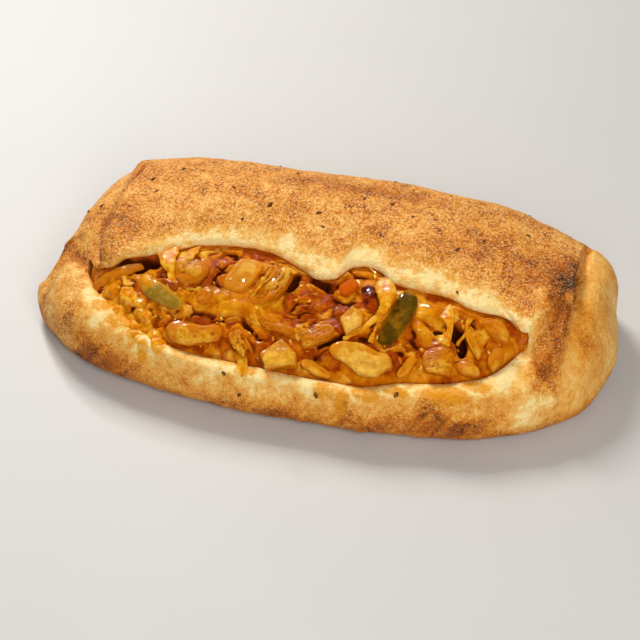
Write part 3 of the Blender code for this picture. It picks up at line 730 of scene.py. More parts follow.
def makeDough():
    x = spreadStations(roll["stations"])
    perSpan = roll["perSpan"]
    places = spanPlaces(perSpan)
    grid = withX(x, rounded(doughOutline(x), perSpan))
    normal = outward(grid)
    height = doughRelief(grid[:, :, 0], grid[:, :, 1], grid[:, :, 2])
    height += bumps(grid, *roll["swell"]) * ease(grid[:, :, 2], 0.5, 6.0)
    grid = grid + normal * (height * bySpan(roll["skin"], perSpan))[:, :, None]
    fine = crustDetail(grid) * ease(grid[:, :, 2], 0.3, 4.0) * bySpan(roll["fineSkin"], perSpan)
    grid = grid + outward(grid) * fine[:, :, None]
    grid[:, :, 2] = np.maximum(grid[:, :, 2], 0.0)
    spans = roll["spans"]
    skin = bakeMap(grid, ringArc(grid, places, spans["lipTop"]), -ringArc(grid, places, spans["rimTop"]), places)
    points, faces, fields = closeRings(grid, skin)
    dough = addPiece("bakedDough", points, faces, crustMaterial(), fields)
    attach(dough, "root")
    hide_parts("dough")
    print("dough:", len(faces), "faces")
    return grid, skin


addCamera()
for name, lamp in lamps.items():
    addSoftbox(name, **lamp)
addRoom()
doughGrid, doughSkin = makeDough()


# the filling: chunks bedded in melted cheese and sauce, in mm
mouthFill = {
    "from": 0.03,                       # starts where the mouth is this far open
    "left": -101.6,                     # and no further left than this
    "fineStations": 2200,               # its own stations are picked from these
    "stations": 420,
    "rows": 140,
    "bulge": 0.12,
    "belly": 0.80,
    "slope": 22.0,                      # lean of its showing side, degrees
    "intoDough": 0.5,                   # reaches this far into the crust, so no gap shows
    "offDough": 0.3,                    # its showing side starts this far off the crust
    "shadeBehind": 0.6,                  # painted shade on the part under the crust
    "box": (-108, 98, -58, 8),          # where the chunks are drawn, mm
    "chunks": {"count": 330, "stretch": 1.5, "high": (0.0, 3.0), "lean": 0.22, "seam": 2.8, "seed": 5},
    "crumbs": {"count": 1100, "stretch": 1.4, "high": (0.0, 0.8), "lean": 0.18, "seam": 1.3, "seed": 8},
    "sheets": {                         # smooth melted cheese: x, y, half long, half wide, turn, height
        "amberSheet": (-30, -24.5, 19, 6.5, -3, 2.2),
        "amberLeft": (-44, -27, 9, 4.5, 10, 2.0),
        "curdOne": (-88.5, -26, 5.2, 4.4, 20, 3.4),
        "curdTwo": (-80.5, -30, 5.4, 4.6, 10, 4.0),
        "curdThree": (-73, -35, 5.6, 4.0, -35, 3.6),
        "curdFour": (-86, -33, 5.4, 3.6, -20, 3.2),
        "curdFive": (-77, -39.5, 6.4, 3.6, -35, 3.2),
        "curdSix": (-68.5, -44, 6.0, 3.0, -30, 2.6),
        "underPepper": (-72, -22, 6.0, 3.4, -20, 2.0),
        "wrinkled": (54, -13.5, 8.5, 6.0, 0, 3.4),
        "rightSheet": (68, -9.5, 9.0, 3.4, -8, 2.0),
        "orangeLump": (51, -22.5, 7.0, 3.2, -49, 2.4),
        "rightEnd": (88, -22, 7.0, 3.6, 60, 2.0),
        "frontAmber": (52, -40, 9.0, 2.4, 6, 1.6),
        "belowRagged": (-42, -46, 12.0, 1.8, -4, 1.4),
        "lipCheese": (26, -6, 7.0, 4.0, -20, 2.0),
    },
    "gaps": {                           # hollows between pieces, also darkened with painted shade: x, y, half long, half wide, turn, depth
        "leftPocket": (-80, -14.5, 12, 4.2, 13, 6.5),
        "belowRound": (-52, -18.0, 7, 1.8, 8, 4.0),
        "besideShredded": (-9.5, -9, 6, 2.8, 72, 5.5),
        "underLip": (3, -8.0, 8, 2.6, -14, 4.0),
        "underLong": (14.0, -33.0, 8, 1.6, 25, 5.0),
        "cavity": (66.6, -22.6, 8.0, 3.0, -50, 8.5),
        "smallGap": (57.5, -21, 2.4, 1.2, 0, 4.0),
        "rimPit": (62, -38.5, 3.6, 1.2, 16, 3.0),
        "middleGap": (-23, -34, 5.0, 1.2, -25, 3.0),
        "middleGapTwo": (-37, -33.5, 4.0, 1.0, 5, 2.4),
    },
    "meniscus": 1.3,                    # how far sauce climbs round the larger pieces
}

# every larger piece: kind, then x, y, lift, length, width, thickness, turn, lean, roll, bend
fillingPieces = {
    "onion_square": ("onionSlab", (-31.6, -12.2, 1.8, 20, 12, 4.0, 73, 6, 0, 0.5)),
    "chicken_shredded": ("tornChicken", (-18.4, -15.2, 1.2, 24, 12, 7, 62, -4, 0, 0)),
    "chicken_round": ("softChicken", (-54.4, -14.2, 1.0, 16, 14, 9, 20, 0, 0, 0)),
    "pepper_left": ("softPepper", (-64.0, -27.6, 1.8, 24, 9, 4.0, -28, 0, 4, 0.8)),
    "chicken_pale": ("softChicken", (-46.0, -40.2, 2.6, 27, 11, 7, 3, 0, 0, 0)),
    "chicken_diced": ("dicedChicken", (-7.6, -42.6, 3.9, 16, 12.5, 7, 20, 0, 0, 0)),
    "chicken_ragged": ("tornChicken", (-24.2, -41.2, 3.1, 15, 9, 6, -60, 0, 0, 0)),
    "chicken_small": ("softChicken", (-45.4, -24.6, 1.6, 10, 7, 4.5, 38, 0, 0, 0)),
    "chicken_strand": ("tornChicken", (-11.2, -31.4, 1.4, 19, 6.5, 5, -5, 0, 0, 0)),
    "chicken_long": ("tornChicken", (7.2, -33.0, 1.8, 16.5, 8.5, 5, 35, 0, 0, 0)),
    "onion_cube": ("onionCube", (20.8, -24.8, 1.6, 11.5, 10.5, 8, 42, 0, 0, 0)),
    "charred_bit": ("charred", (26.0, -14.0, 2.0, 13.5, 7.5, 6, -64, 0, 0, 0)),
    "orange_bit": ("redPepper", (15.0, -8.6, 1.2, 10, 7.5, 5, 36, 0, 0, 0)),
    "pepper_dark": ("darkPepper", (39.6, -20.0, 1.0, 28, 11, 4.5, -103, 0, 0, 1.5)),
    "onion_big": ("onionPetal", (27.9, -40.0, 3.6, 29, 13, 4.5, -4, 0, 6, 1.0)),
    "onion_long": ("onionPetal", (10.0, -44.4, 2.7, 15, 5, 3.0, -16, 0, 0, 0)),
    "onion_clear": ("onionPetal", (48.0, -37.4, 2.6, 13, 6, 4.0, 52, 0, 0, 0)),
    "chicken_flat": ("tornChicken", (60.6, -32.8, 2.0, 14, 13.5, 6, 14, 0, 0, 0)),
    "onion_strip": ("onionPetal", (73.6, -24.0, 1.4, 14.5, 4.5, 4.0, -52, 0, 0, 0)),
    "chicken_right": ("softChicken", (82.0, -15.6, 1.0, 13.5, 9, 7, -11, 0, 0, 0)),
    "chicken_end": ("softChicken", (83.8, -25.6, 3.0, 11.5, 7, 5, 62, 0, 0, 0)),
    "chicken_low": ("softChicken", (73.4, -33.3, 4.2, 11, 6.5, 6, 5, 0, 0, 0)),
}


def liningOf(x, offset):
    # the hollow's side at each x, moved by offset mm away from the crust
    curves = rounded(doughOutline(x), roll["perSpan"])
    first, last = (sum(roll["perSpan"][:span]) for span in roll["spans"]["hollow"])
    step = curves[:, first + 1:last + 1] - curves[:, first - 1:last - 1]
    clear = np.stack([-step[:, :, 1], step[:, :, 0]], axis=2)
    clear /= np.maximum(np.linalg.norm(clear, axis=2, keepdims=True), 1e-9)
    return curves[:, first:last] + offset * clear


def bulge(share):
    # how far the showing side swells, as a share of the mouth's width
    return mouthFill["bulge"] * np.sin(math.pi * share.clip(0.0, 1.0) ** mouthFill["belly"])


def fillingLevel(x, y):
    # height of the filling's plain showing side
    lining = liningOf(np.array([float(x)]), mouthFill["offDough"])
    low, high = lining[0, 0], lining[0, -1]
    width = high[0] - low[0]
    share = np.clip((y - low[0]) / width, 0.0, 1.0)
    return float(low[1] + (high[1] - low[1]) * share + bulge(np.array(share)) * width)


def inPiece(x, y, spec):
    # place inside an oblong: 0 at its middle, 1 at its edge
    px, py, halfLong, halfWide, turn = spec[:5]
    turn = math.radians(turn)
    u = ((x - px) * math.cos(turn) + (y - py) * math.sin(turn)) / halfLong
    v = (-(x - px) * math.sin(turn) + (y - py) * math.cos(turn)) / halfWide
    return (np.abs(u) ** 3 + np.abs(v) ** 3) ** (1.0 / 3.0)


def blur(field, reach):
    # soft average over a grid, reach in cells along and across
    for axis, cells in enumerate(reach):
        kernel = np.exp(-0.5 * (np.arange(-3 * cells, 3 * cells + 1) / cells) ** 2)
        kernel /= kernel.sum()
        padded = np.pad(field, [(3 * cells, 3 * cells) if a == axis else (0, 0) for a in (0, 1)], mode="edge")
        field = np.apply_along_axis(lambda line: np.convolve(line, kernel, mode="valid"), axis, padded)
    return field


def bedOfChunks(x, y, spec):
    # uneven tops of chunks pressed together, each leaning its own way, with seams between them
    draw = np.random.default_rng(spec["seed"])
    left, right, front, back = mouthFill["box"]
    spots = np.column_stack([draw.uniform(*span, spec["count"]) for span in ((left, right), (front, back))])
    tree = pointTree(np.column_stack([spots[:, 0] / spec["stretch"], spots[:, 1], np.zeros(len(spots))]))
    flat = np.column_stack([x.ravel() / spec["stretch"], y.ravel(), np.zeros(x.size)]).tolist()
    found = [tree.find_n(place, 2) for place in flat]
    which = np.array([pair[0][1] for pair in found]).reshape(x.shape)
    near = np.array([pair[0][2] for pair in found]).reshape(x.shape)
    beyond = np.array([pair[1][2] for pair in found]).reshape(x.shape)
    high = draw.uniform(*spec["high"], len(spots))
    leanX, leanY = (draw.normal(0, spec["lean"], len(spots)) for _ in range(2))
    tint = draw.uniform(0, 1, len(spots))
    top = high[which] + leanX[which] * (x - spots[which, 0]) + leanY[which] * (y - spots[which, 1])
    inside = ease(beyond - near, 0.0, spec["seam"])
    return np.maximum(top, 0.0) * inside, 1.0 - inside, tint[which]


def sauceRelief(face, share):
    # heights and looks of the filling's showing side
    x, y = face[:, :, 0], face[:, :, 1]
    wx = x + bumps(face, 5.0, 1.6, shift=1.0) + bumps(face, 1.7, 0.5, shift=2.0)       # ragged places
    wy = y + bumps(face, 5.0, 1.6, shift=4.0) + bumps(face, 1.7, 0.5, shift=5.0)
    soft = bumps(face, 9.0, 1.5, shift=6.0) + bumps(face, 4.0, 0.7, shift=7.0) + bumps(face, 1.6, 0.25, shift=9.0)
    chunkTop, chunkSeam, tint = bedOfChunks(wx, wy, mouthFill["chunks"])
    crumbTop, crumbSeam, crumbTint = bedOfChunks(wx, wy, mouthFill["crumbs"])
    melted = ease(bumps(face, 11.0, 1.0, shift=12.0), -0.30, 0.35)      # 1 where cheese has run over the crumbs
    rough = chunkTop + crumbTop * (1.0 - 0.8 * melted)
    tint = 0.65 * tint + 0.35 * crumbTint

    sheetTop = np.zeros_like(x)
    cheese = np.zeros_like(x)
    for spec in mouthFill["sheets"].values():
        inside = inPiece(x + 0.45 * (wx - x), y + 0.45 * (wy - y), spec)
        sheetTop = np.maximum(sheetTop, spec[5] * (1.0 - ease(inside, 0.25, 1.15)))
        cheese = np.maximum(cheese, 1.0 - ease(inside, 0.62, 1.12))
    climb = np.zeros_like(x)
    for _, spec in fillingPieces.values():
        inside = inPiece(wx, wy, (spec[0], spec[1], 0.5 * spec[3] + 0.6, 0.5 * spec[4] + 0.6, spec[6]))
        climb = np.maximum(climb, mouthFill["meniscus"] * (1.0 - ease(inside, 0.95, 1.40)) * (1.0 - 0.5 * cheese))
        rough *= ease(inside, 0.65, 1.15)
    height = soft * (1.0 - 0.4 * cheese) + rough * (1.0 - 0.86 * cheese) + sheetTop + climb
    width = np.ptp(face[:, :, 1], axis=1)[:, None]
    calm = ease(share, 0.0, 0.07) * (1.0 - ease(share, 0.90, 0.995)) * ease(width, 2.0, 12.0)
    height = height * calm

    gap = np.zeros_like(x)
    for spec in mouthFill["gaps"].values():
        inside = inPiece(x + 0.8 * (wx - x), y + 0.8 * (wy - y), spec)
        height -= spec[5] * (1.0 - ease(inside, 0.45, 1.05)) * calm
        gap = np.maximum(gap, 1.0 - ease(inside, 0.55, 1.15))
    # painted shade: gaps, hollows below the blurred height and seams between chunks get a darker colour
    hollow = blur(height, (5, 6)) - height
    seams = np.maximum(0.75 * chunkSeam, 0.35 * crumbSeam) * (1.0 - cheese)
    deep = np.maximum(np.maximum(gap, ease(hollow, 0.18, 1.25)), 0.7 * seams * ease(hollow, -0.3, 0.6))
    return height, {"deep": deep, "cheese": cheese * (1.0 - gap), "tint": tint}


sauceLook = {
    "sauce": ((0.37, (0.36, 0.045, 0.001)), (0.47, (0.58, 0.140, 0.001)), (0.56, (0.74, 0.260, 0.003)),
              (0.67, (0.90, 0.480, 0.050))),
    "amber": ((0.38, (0.58, 0.145, 0.001)), (0.52, (0.74, 0.265, 0.002)), (0.66, (0.88, 0.420, 0.018))),
    "speck": (0.52, 0.075, 0.002),
    "shade": (0.40, 0.064, 0.001),      # painted shade between the pieces
    # painted shade in the deepest gaps
    "deepestShade": (0.060, 0.0065, 0.0004),
}


def wetSauce():
    material, tree, shader = newMaterial("meltedCheeseAndSauce", Roughness=0.45, Specular_IOR_Level=0.06,
                                         Subsurface_Weight=0.25, Subsurface_Scale=0.003, Coat_Weight=1.0,
                                         Coat_Roughness=0.05)
    shader.inputs["Subsurface Radius"].default_value = (1.0, 0.40, 0.05)
    coords = objectCoords(tree)
    other = objectCoords(tree, shift=(0.2, 0.4, 0.1))
    deep, cheese, tint = readField(tree, "deep"), readField(tree, "cheese"), readField(tree, "tint")
    wide = grain(tree, coords, 8.0, 3.0, 0.6)
    mid = grain(tree, other, 2.6, 3.0, 0.6)
    fine = grain(tree, coords, 0.9, 2.0, 0.6)
    tone = plus(tree, times(tree, wide, 0.55), times(tree, mid, 0.12))
    tone = plus(tree, tone, times(tree, tint, 0.33))
    sauce, amber = colourRamp(tree, tone, sauceLook["sauce"]), colourRamp(tree, wide, sauceLook["amber"])
    colour = mixColour(tree, times(tree, cheese, 0.9), sauce, amber)
    speck = spread(tree, grain(tree, other, 1.4, 2.0), 0.62, 0.68, 0.0, 0.35)
    colour = mixColour(tree, speck, colour, sauceLook["speck"])
    # painted shade: darker towards the gaps and hollows between pieces
    colour = mixColour(tree, spread(tree, deep, 0.04, 0.38, 0.0, 0.90), colour, sauceLook["shade"])
    colour = mixColour(tree, spread(tree, deep, 0.36, 0.85, 0.0, 0.95), colour, sauceLook["deepestShade"])
    tree.links.new(spread(tree, deep, 0.10, 0.60, 1.0, 0.30), shader.inputs["Coat Weight"])
    tree.links.new(colour, shader.inputs["Base Color"])
    tree.links.new(spread(tree, mid, 0.35, 0.65, 0.36, 0.56), shader.inputs["Roughness"])
    height = times(tree, plus(tree, times(tree, fine, 0.4), mid), spread(tree, cheese, 0.0, 1.0, 1.0, 0.25))
    addBump(tree, shader, height, 0.8, 0.6)
    addWetCoat(tree, shader, other)
    return material


def makeFilling():
    x = spreadStations(mouthFill["fineStations"])
    x = x[(mouthOpen(x) > mouthFill["from"]) & (x > mouthFill["left"])]
    x = np.interp(np.linspace(0, len(x) - 1, mouthFill["stations"]), np.arange(len(x)), x)
    lining = liningOf(x, -mouthFill["intoDough"])
    edge = liningOf(x, mouthFill["offDough"])
    share = np.linspace(0.0, 1.0, mouthFill["rows"] + 2)[1:-1]      # from the wall to the lip
    low, high = edge[:, :1], edge[:, -1:]
    face = low + (high - low) * share[None, :, None]
    width = (high - low)[:, :, 0]
    face[:, :, 1] += bulge(share)[None, :] * width
    face = withX(x, face)
    height, fields = sauceRelief(face, share[None, :])
    slope = math.radians(mouthFill["slope"])
    face[:, :, 1] -= height * math.sin(slope)
    face[:, :, 2] += height * math.cos(slope)
    grid = np.concatenate([withX(x, lining), face[:, ::-1]], axis=1)
    # the part under the crust gets painted shade; its other fields are 0
    shown = {}
    for name, values in fields.items():
        hidden = np.full(lining.shape[:2], mouthFill["shadeBehind"] if name == "deep" else 0.0)
        shown[name] = np.concatenate([hidden, values[:, ::-1]], axis=1)
    points, faces, full = closeRings(grid[:, ::-1], {name: v[:, ::-1] for name, v in shown.items()})
    filling = addPiece("meltedFilling", points, faces, wetSauce(), full)
    faceOutward(filling)
    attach(filling, "root")
    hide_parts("filling")
    print("filling:", len(faces), "faces")
    return face


sauceFace = makeFilling()
sauceTree = pointTree(sauceFace.reshape(-1, 3))


# how each kind of piece is built up and finished: rounds of softening, doming, cupping, sizes in mm, (size, height)
pieceLooks = {
    "softChicken": {"material": "chicken", "slot": "chicken", "soft": 2, "dome": 0.35, "cup": 0.0, "lumps": 4.6,
                    "voxel": 0.40, "waves": (3.2, 0.55), "folds": (1.5, 0.14), "strands": 0.08},
    "tornChicken": {"material": "chicken", "slot": "chicken", "soft": 1, "dome": 0.25, "cup": 0.0, "slivers": 9,
                    "voxel": 0.34, "waves": (3.4, 0.60), "folds": (1.2, 0.16), "strands": 0.22},
    "dicedChicken": {"material": "chicken", "slot": "chicken", "soft": 0, "dome": 0.0, "cup": 0.0,
                     "voxel": 0.40, "waves": (4.5, 0.45), "folds": (1.6, 0.10), "strands": 0.05},
    "onionSlab": {"material": "onion", "slot": "onion", "soft": 1, "dome": 0.0, "cup": 0.10,
                  "voxel": 0.38, "waves": (7.0, 0.45), "folds": (2.0, 0.05), "strands": 0.03},
    "onionCube": {"material": "onion", "slot": "onion", "soft": 0, "dome": 0.04, "cup": 0.0,
                  "voxel": 0.38, "waves": (5.0, 0.5), "folds": (1.8, 0.08), "strands": 0.02},
    "onionPetal": {"material": "onion", "slot": "onion", "soft": 1, "dome": 0.05, "cup": 0.30,
                   "voxel": 0.36, "waves": (5.0, 1.0), "folds": (2.0, 0.06), "strands": 0.05},
    "softPepper": {"material": "softPepper", "slot": "green_pepper", "soft": 2, "dome": 0.35, "cup": -0.2,
                   "voxel": 0.38, "waves": (5.0, 0.45), "folds": (1.4, 0.12), "strands": 0.0},
    "darkPepper": {"material": "darkPepper", "slot": "green_pepper", "soft": 2, "dome": 0.05, "cup": -0.20,
                   "voxel": 0.38, "waves": (6.0, 0.70), "folds": (1.6, 0.05), "strands": 0.0},
    "redPepper": {"material": "redPepper", "slot": "red_pepper", "soft": 2, "dome": 0.30, "cup": 0.0,
                  "voxel": 0.36, "waves": (4.0, 0.45), "folds": (1.4, 0.12), "strands": 0.05},
    "charred": {"material": "charred", "slot": "charred", "soft": 1, "dome": 0.25, "cup": 0.0, "lumps": 2.2,
                "voxel": 0.34, "waves": (2.2, 0.7), "folds": (0.9, 0.32), "strands": 0.10},
}

# corners of each piece seen from above, as shares of half its length and width
pieceOutlines = {
    "onion_square": ((0.58, 1.0), (-1.0, 1.0), (-0.92, -0.60), (-0.27, -0.98), (0.31, -1.0), (1.0, -1.0),
                     (0.93, 0.25)),
    "chicken_shredded": ((0.66, 0.68), (0.06, 1.0), (-0.51, 1.0), (-1.0, 0.52), (-1.0, -0.07), (-0.68, -0.52),
                         (-0.23, -0.94), (0.22, -1.0), (0.94, -0.59), (1.0, -0.09)),
    "chicken_round": ((-1.0, -0.33), (-0.60, -1.0), (0.0, -1.05), (0.41, -0.92), (0.89, -0.49), (1.0, 0.07),
                      (0.52, 0.67), (-0.44, 1.05), (-0.91, 0.81)),
    "pepper_left": ((-0.66, -0.99), (-0.16, -0.98), (0.38, -0.71), (0.77, -0.29), (1.05, 0.16), (0.88, 0.74),
                    (0.40, 1.0), (-0.14, 1.0), (-0.63, 0.84), (-1.0, 0.35), (-1.04, -0.49)),
    "chicken_pale": ((-0.77, -0.79), (-0.32, -1.1), (0.19, -0.95), (0.66, -0.40), (1.0, 0.30), (0.76, 1.05),
                     (0.30, 0.66), (-0.20, 0.93), (-0.68, 0.82), (-1.0, 0.20)),
    "chicken_diced": ((-1.0, 0.10), (-0.80, -0.95), (0.92, -1.05), (1.0, -0.30), (0.32, 1.05)),
    "chicken_ragged": ((-0.39, -1.08), (0.33, -0.62), (1.03, -0.10), (0.25, 0.30), (-0.43, 1.1), (-0.60, 0.54),
                       (-1.0, 0.10), (-0.88, -1.0)),
    "chicken_small": ((-0.95, -0.51), (-0.44, -1.05), (0.40, -0.90), (1.0, 0.30), (0.46, 1.0), (-0.81, 0.50)),
    "chicken_strand": ((-0.70, -0.60), (-0.03, -0.85), (0.73, -1.0), (1.0, 0.04), (0.34, 0.52), (-0.39, 1.0),
                       (-1.0, 0.41)),
    "chicken_long": ((-1.05, -0.80), (-0.41, -1.0), (0.58, -0.86), (1.05, -0.26), (0.78, 0.83), (-0.09, 1.0),
                     (-0.80, 0.52)),
    "onion_cube": ((-1.0, -0.95), (0.38, -1.05), (1.0, -0.15), (0.55, 1.0), (-0.78, 0.72)),
    "charred_bit": ((-0.04, -0.95), (0.55, -0.75), (1.0, -0.14), (0.88, 0.71), (-0.05, 0.90), (-0.75, 0.95),
                    (-1.0, 0.04), (-0.60, -0.80)),
    "orange_bit": ((-0.73, -0.95), (0.33, -0.90), (0.95, -0.29), (0.88, 0.76), (-0.12, 1.0), (-1.0, 0.20)),
    "pepper_dark": ((-0.60, -0.66), (-0.10, -0.75), (0.46, -1.0), (0.88, -0.94), (1.03, -0.27), (0.90, 0.48),
                    (0.54, 0.85), (-0.04, 1.0), (-0.60, 1.0), (-0.95, 0.60), (-1.03, 0.10), (-1.0, -0.60)),
    "onion_big": ((-1.02, 0.30), (-0.74, -0.34), (-0.28, -0.60), (0.14, -1.05), (0.60, -1.0), (0.76, -0.42),
                  (1.02, 0.0), (0.86, 0.72), (0.36, 0.78), (-0.12, 1.08), (-0.66, 0.98)),
    "onion_long": ((-0.71, -0.97), (0.12, -1.0), (1.0, -0.79), (1.02, 0.37), (0.24, 0.86), (-0.62, 1.0),
                   (-1.04, -0.15)),
    "onion_clear": ((-1.0, -0.70), (-0.2, -1.0), (0.6, -0.4), (1.0, 0.7), (0.5, 1.0), (-0.4, 0.6), (-1.0, 0.15)),
    "chicken_flat": ((-1.0, -0.60), (-0.30, -0.78), (0.85, -1.08), (1.02, 0.80), (-0.10, 1.08), (-0.98, 0.60)),
    "onion_strip": ((-0.55, -0.82), (0.22, -1.05), (1.05, -0.87), (0.76, 0.55), (0.04, 1.05), (-0.86, 0.60),
                    (-1.05, -0.36)),
    "chicken_right": ((-0.76, -0.50), (0.08, -1.0), (0.94, -0.92), (1.05, -0.03), (0.33, 0.85), (-0.49, 1.0),
                      (-1.05, 0.36)),
    "chicken_end": ((-1.05, -0.24), (-0.95, -1.05), (0.07, -0.98), (1.05, 0.0), (0.88, 1.05), (-0.23, 1.0)),
    "chicken_low": ((-0.84, -0.60), (-0.02, -1.0), (0.85, -0.90), (1.02, 0.0), (0.40, 0.80), (-0.38, 1.0),
                    (-1.02, 0.45)),
}


def lump(centre, radii, square, turns=(0.0, 0.0, 0.0), cuts=9):
    # a rounded block in mm
    block = bmesh.new()
    bmesh.ops.create_cube(block, size=2.0)
    bmesh.ops.subdivide_edges(block, edges=block.edges[:], cuts=cuts, use_grid_fill=True)
    bmesh.ops.recalc_face_normals(block, faces=block.faces)
    p = np.array([v.co[:] for v in block.verts])
    faces = [[v.index for v in f.verts] for f in block.faces]
    block.free()
    p = p / (np.abs(p) ** square).sum(axis=1, keepdims=True) ** (1.0 / square)
    turned = Matrix.Identity(3)
    for angle, axis in zip(turns, "XYZ"):
        turned = Matrix.Rotation(math.radians(angle), 3, axis) @ turned
    return (p * np.array(radii)) @ np.array(turned).T + np.array(centre), faces


def fused(parts, voxel, rounds=2):
    # one closed skin over overlapping blocks: its points, faces and normals
    points, faces = [], []
    for partPoints, partFaces in parts:
        start = sum(len(p) for p in points)
        faces += [[start + i for i in face] for face in partFaces]
        points.append(partPoints)
    mesh = bpy.data.meshes.new("blocks")
    mesh.from_pydata(np.concatenate(points).tolist(), [], faces)
    blocks = addObject("blocks", mesh)
    skin = blocks.modifiers.new("skin", "REMESH")
    skin.mode = "VOXEL"
    skin.voxel_size = voxel
    soften = blocks.modifiers.new("soften", "SMOOTH")
    soften.factor = 0.5
    soften.iterations = rounds
    whole = bpy.data.meshes.new_from_object(blocks.evaluated_get(bpy.context.evaluated_depsgraph_get()))
    bpy.data.objects.remove(blocks)
    coords = np.array([v.co[:] for v in whole.vertices])
    normals = np.array([v.normal[:] for v in whole.vertices])
    quads = [tuple(polygon.vertices) for polygon in whole.polygons]
    edges = np.array([edge.vertices[:] for edge in whole.edges])
    bpy.data.meshes.remove(whole)
    return coords, quads, normals, edges


def hollowness(coords, normals, edges, rounds):
    # how far each point lies below its neighbours, in mm
    def average(values):
        total, count = np.zeros_like(values), np.zeros(len(values))
        for a, b in ((0, 1), (1, 0)):
            np.add.at(total, edges[:, a], values[edges[:, b]])
            np.add.at(count, edges[:, a], 1.0)
        return total / count.reshape((-1,) + (1,) * (values.ndim - 1))
    mean = coords
    for _ in range(rounds):
        mean = average(mean)
    return ((mean - coords) * normals).sum(axis=1)


def slab(corners, size, look):
    # a cut slice of the outline's shape with rounded edges
    ring = np.array(corners)
    for _ in range(look["soft"]):       # each round cuts the corners off
        after = np.roll(ring, -1, axis=0)
        ring = np.stack([0.78 * ring + 0.22 * after, 0.22 * ring + 0.78 * after], axis=1).reshape(-1, 2)
    long, wide, thick = (0.5 * side for side in size)
    centre = ring.mean(axis=0)
    points = []
    reach = (0.0, 0.3, 0.6, 0.87, 0.97, 1.0, 1.0, 0.97, 0.87, 0.6, 0.3, 0.0)
    level = (1.0, 1.0, 1.0, 0.98, 0.80, 0.35, -0.35, -0.80, -0.98, -1.0, -1.0, -1.0)
    for r, h in zip(reach, level):
        flat = centre + (ring - centre) * r
        z = thick * (h * (1.0 - look["dome"] * r * r) + look["cup"] * flat[:, 1] ** 2)
        points.append(np.column_stack([flat[:, 0] * long, flat[:, 1] * wide, z]))
    return np.concatenate(points), ringQuads(len(reach), len(ring)).tolist()


def pieceParts(look, corners, size, draw):
    # the blocks that are fused into one piece
    long, wide, thick = (0.5 * side for side in size)
    parts = [slab(corners, size, look)]
    if "lumps" in look:
        count = max(2, int(round(size[0] / look["lumps"])))
        for i in range(count):
            place = (i + 0.5) / count * 2.0 - 1.0
            reach = draw.uniform(0.22, 0.36) * long + 0.6
            centre = (place * (long - reach), draw.uniform(-0.35, 0.35) * wide, draw.uniform(0.15, 0.45) * thick)
            radii = (reach, draw.uniform(0.35, 0.52) * wide, draw.uniform(0.45, 0.60) * thick)
            parts.append(lump(centre, radii, 3.0, tuple(draw.uniform(-most, most) for most in (25, 12, 28))))
    for i in range(look.get("slivers", 0)):     # torn along the grain
        across = (i + 0.5) / look["slivers"] * 1.5 - 0.75
        reach = draw.uniform(0.34, 0.58) * long
        centre = (draw.uniform(-0.36, 0.36) * long, across * wide, draw.uniform(0.45, 0.85) * thick)
        radii = (reach, draw.uniform(0.09, 0.17) * wide, draw.uniform(0.20, 0.40) * thick)
        parts.append(lump(centre, radii, 2.4, tuple(draw.uniform(-most, most) for most in (10, 9, 13)), cuts=7))
    return parts


def chunkShape(kind, corners, size, bend, seed):
    # an uneven piece of food in its own mm, with how hollow each point is, for painted shade in its creases
    look = pieceLooks[kind]
    draw = np.random.default_rng(seed + 100)
    coords, faces, normals, edges = fused(pieceParts(look, corners, size, draw), look["voxel"])
    shift = np.array((seed * 7.3, seed * 3.1, seed * 1.9))

    def wave(reach, stretch=1.0):
        places = (coords / (reach * np.array((stretch, 1.0, 1.0))) + shift).tolist()
        return np.array([noise.noise(place) for place in places])
    rise = look["waves"][1] * wave(look["waves"][0], 1.5) + look["folds"][1] * wave(look["folds"][0])
    strand = np.abs(wave(1.1, 5.0)) + 0.5 * np.abs(wave(0.6, 4.0))
    rise -= look["strands"] * (1.0 - ease(strand, 0.0, 0.35)) + 0.3 * look["strands"] * wave(0.5, 3.0)
    coords = coords + normals * rise[:, None]
    coords[:, 2] -= bend * (coords[:, 0] / (0.5 * size[0])) ** 2
    return coords, faces, ease(hollowness(coords, normals, edges, 6), -0.02, 0.16)


def placeChunk(name, kind, corners, spec, seed):
    # turns a piece into place; "above" says how far each point stands out of the sauce
    x, y, lift, length, width, thick, turn, lean, rollBy, bend = spec
    spot, faces, groove = chunkShape(kind, corners, (length, width, thick), bend, seed)
    slope = math.radians(mouthFill["slope"])
    turned = (Matrix.Rotation(slope, 3, "X") @ Matrix.Rotation(math.radians(turn), 3, "Z")
              @ Matrix.Rotation(math.radians(lean), 3, "Y") @ Matrix.Rotation(math.radians(rollBy), 3, "X"))
    points = spot @ np.array(turned).T + np.array((x, y, fillingLevel(x, y) + lift))
    above = []
    for place in points.tolist():
        under = sauceTree.find(place)[0]
        above.append((place[2] - under[2]) * math.cos(slope) - (place[1] - under[1]) * math.sin(slope))
    # groove: how hollow each point is, which the material darkens as painted shade
    fields = {"above": np.array(above), "groove": groove}
    return addPiece(name, points, faces, pieceMaterials[pieceLooks[kind]["material"]], fields)


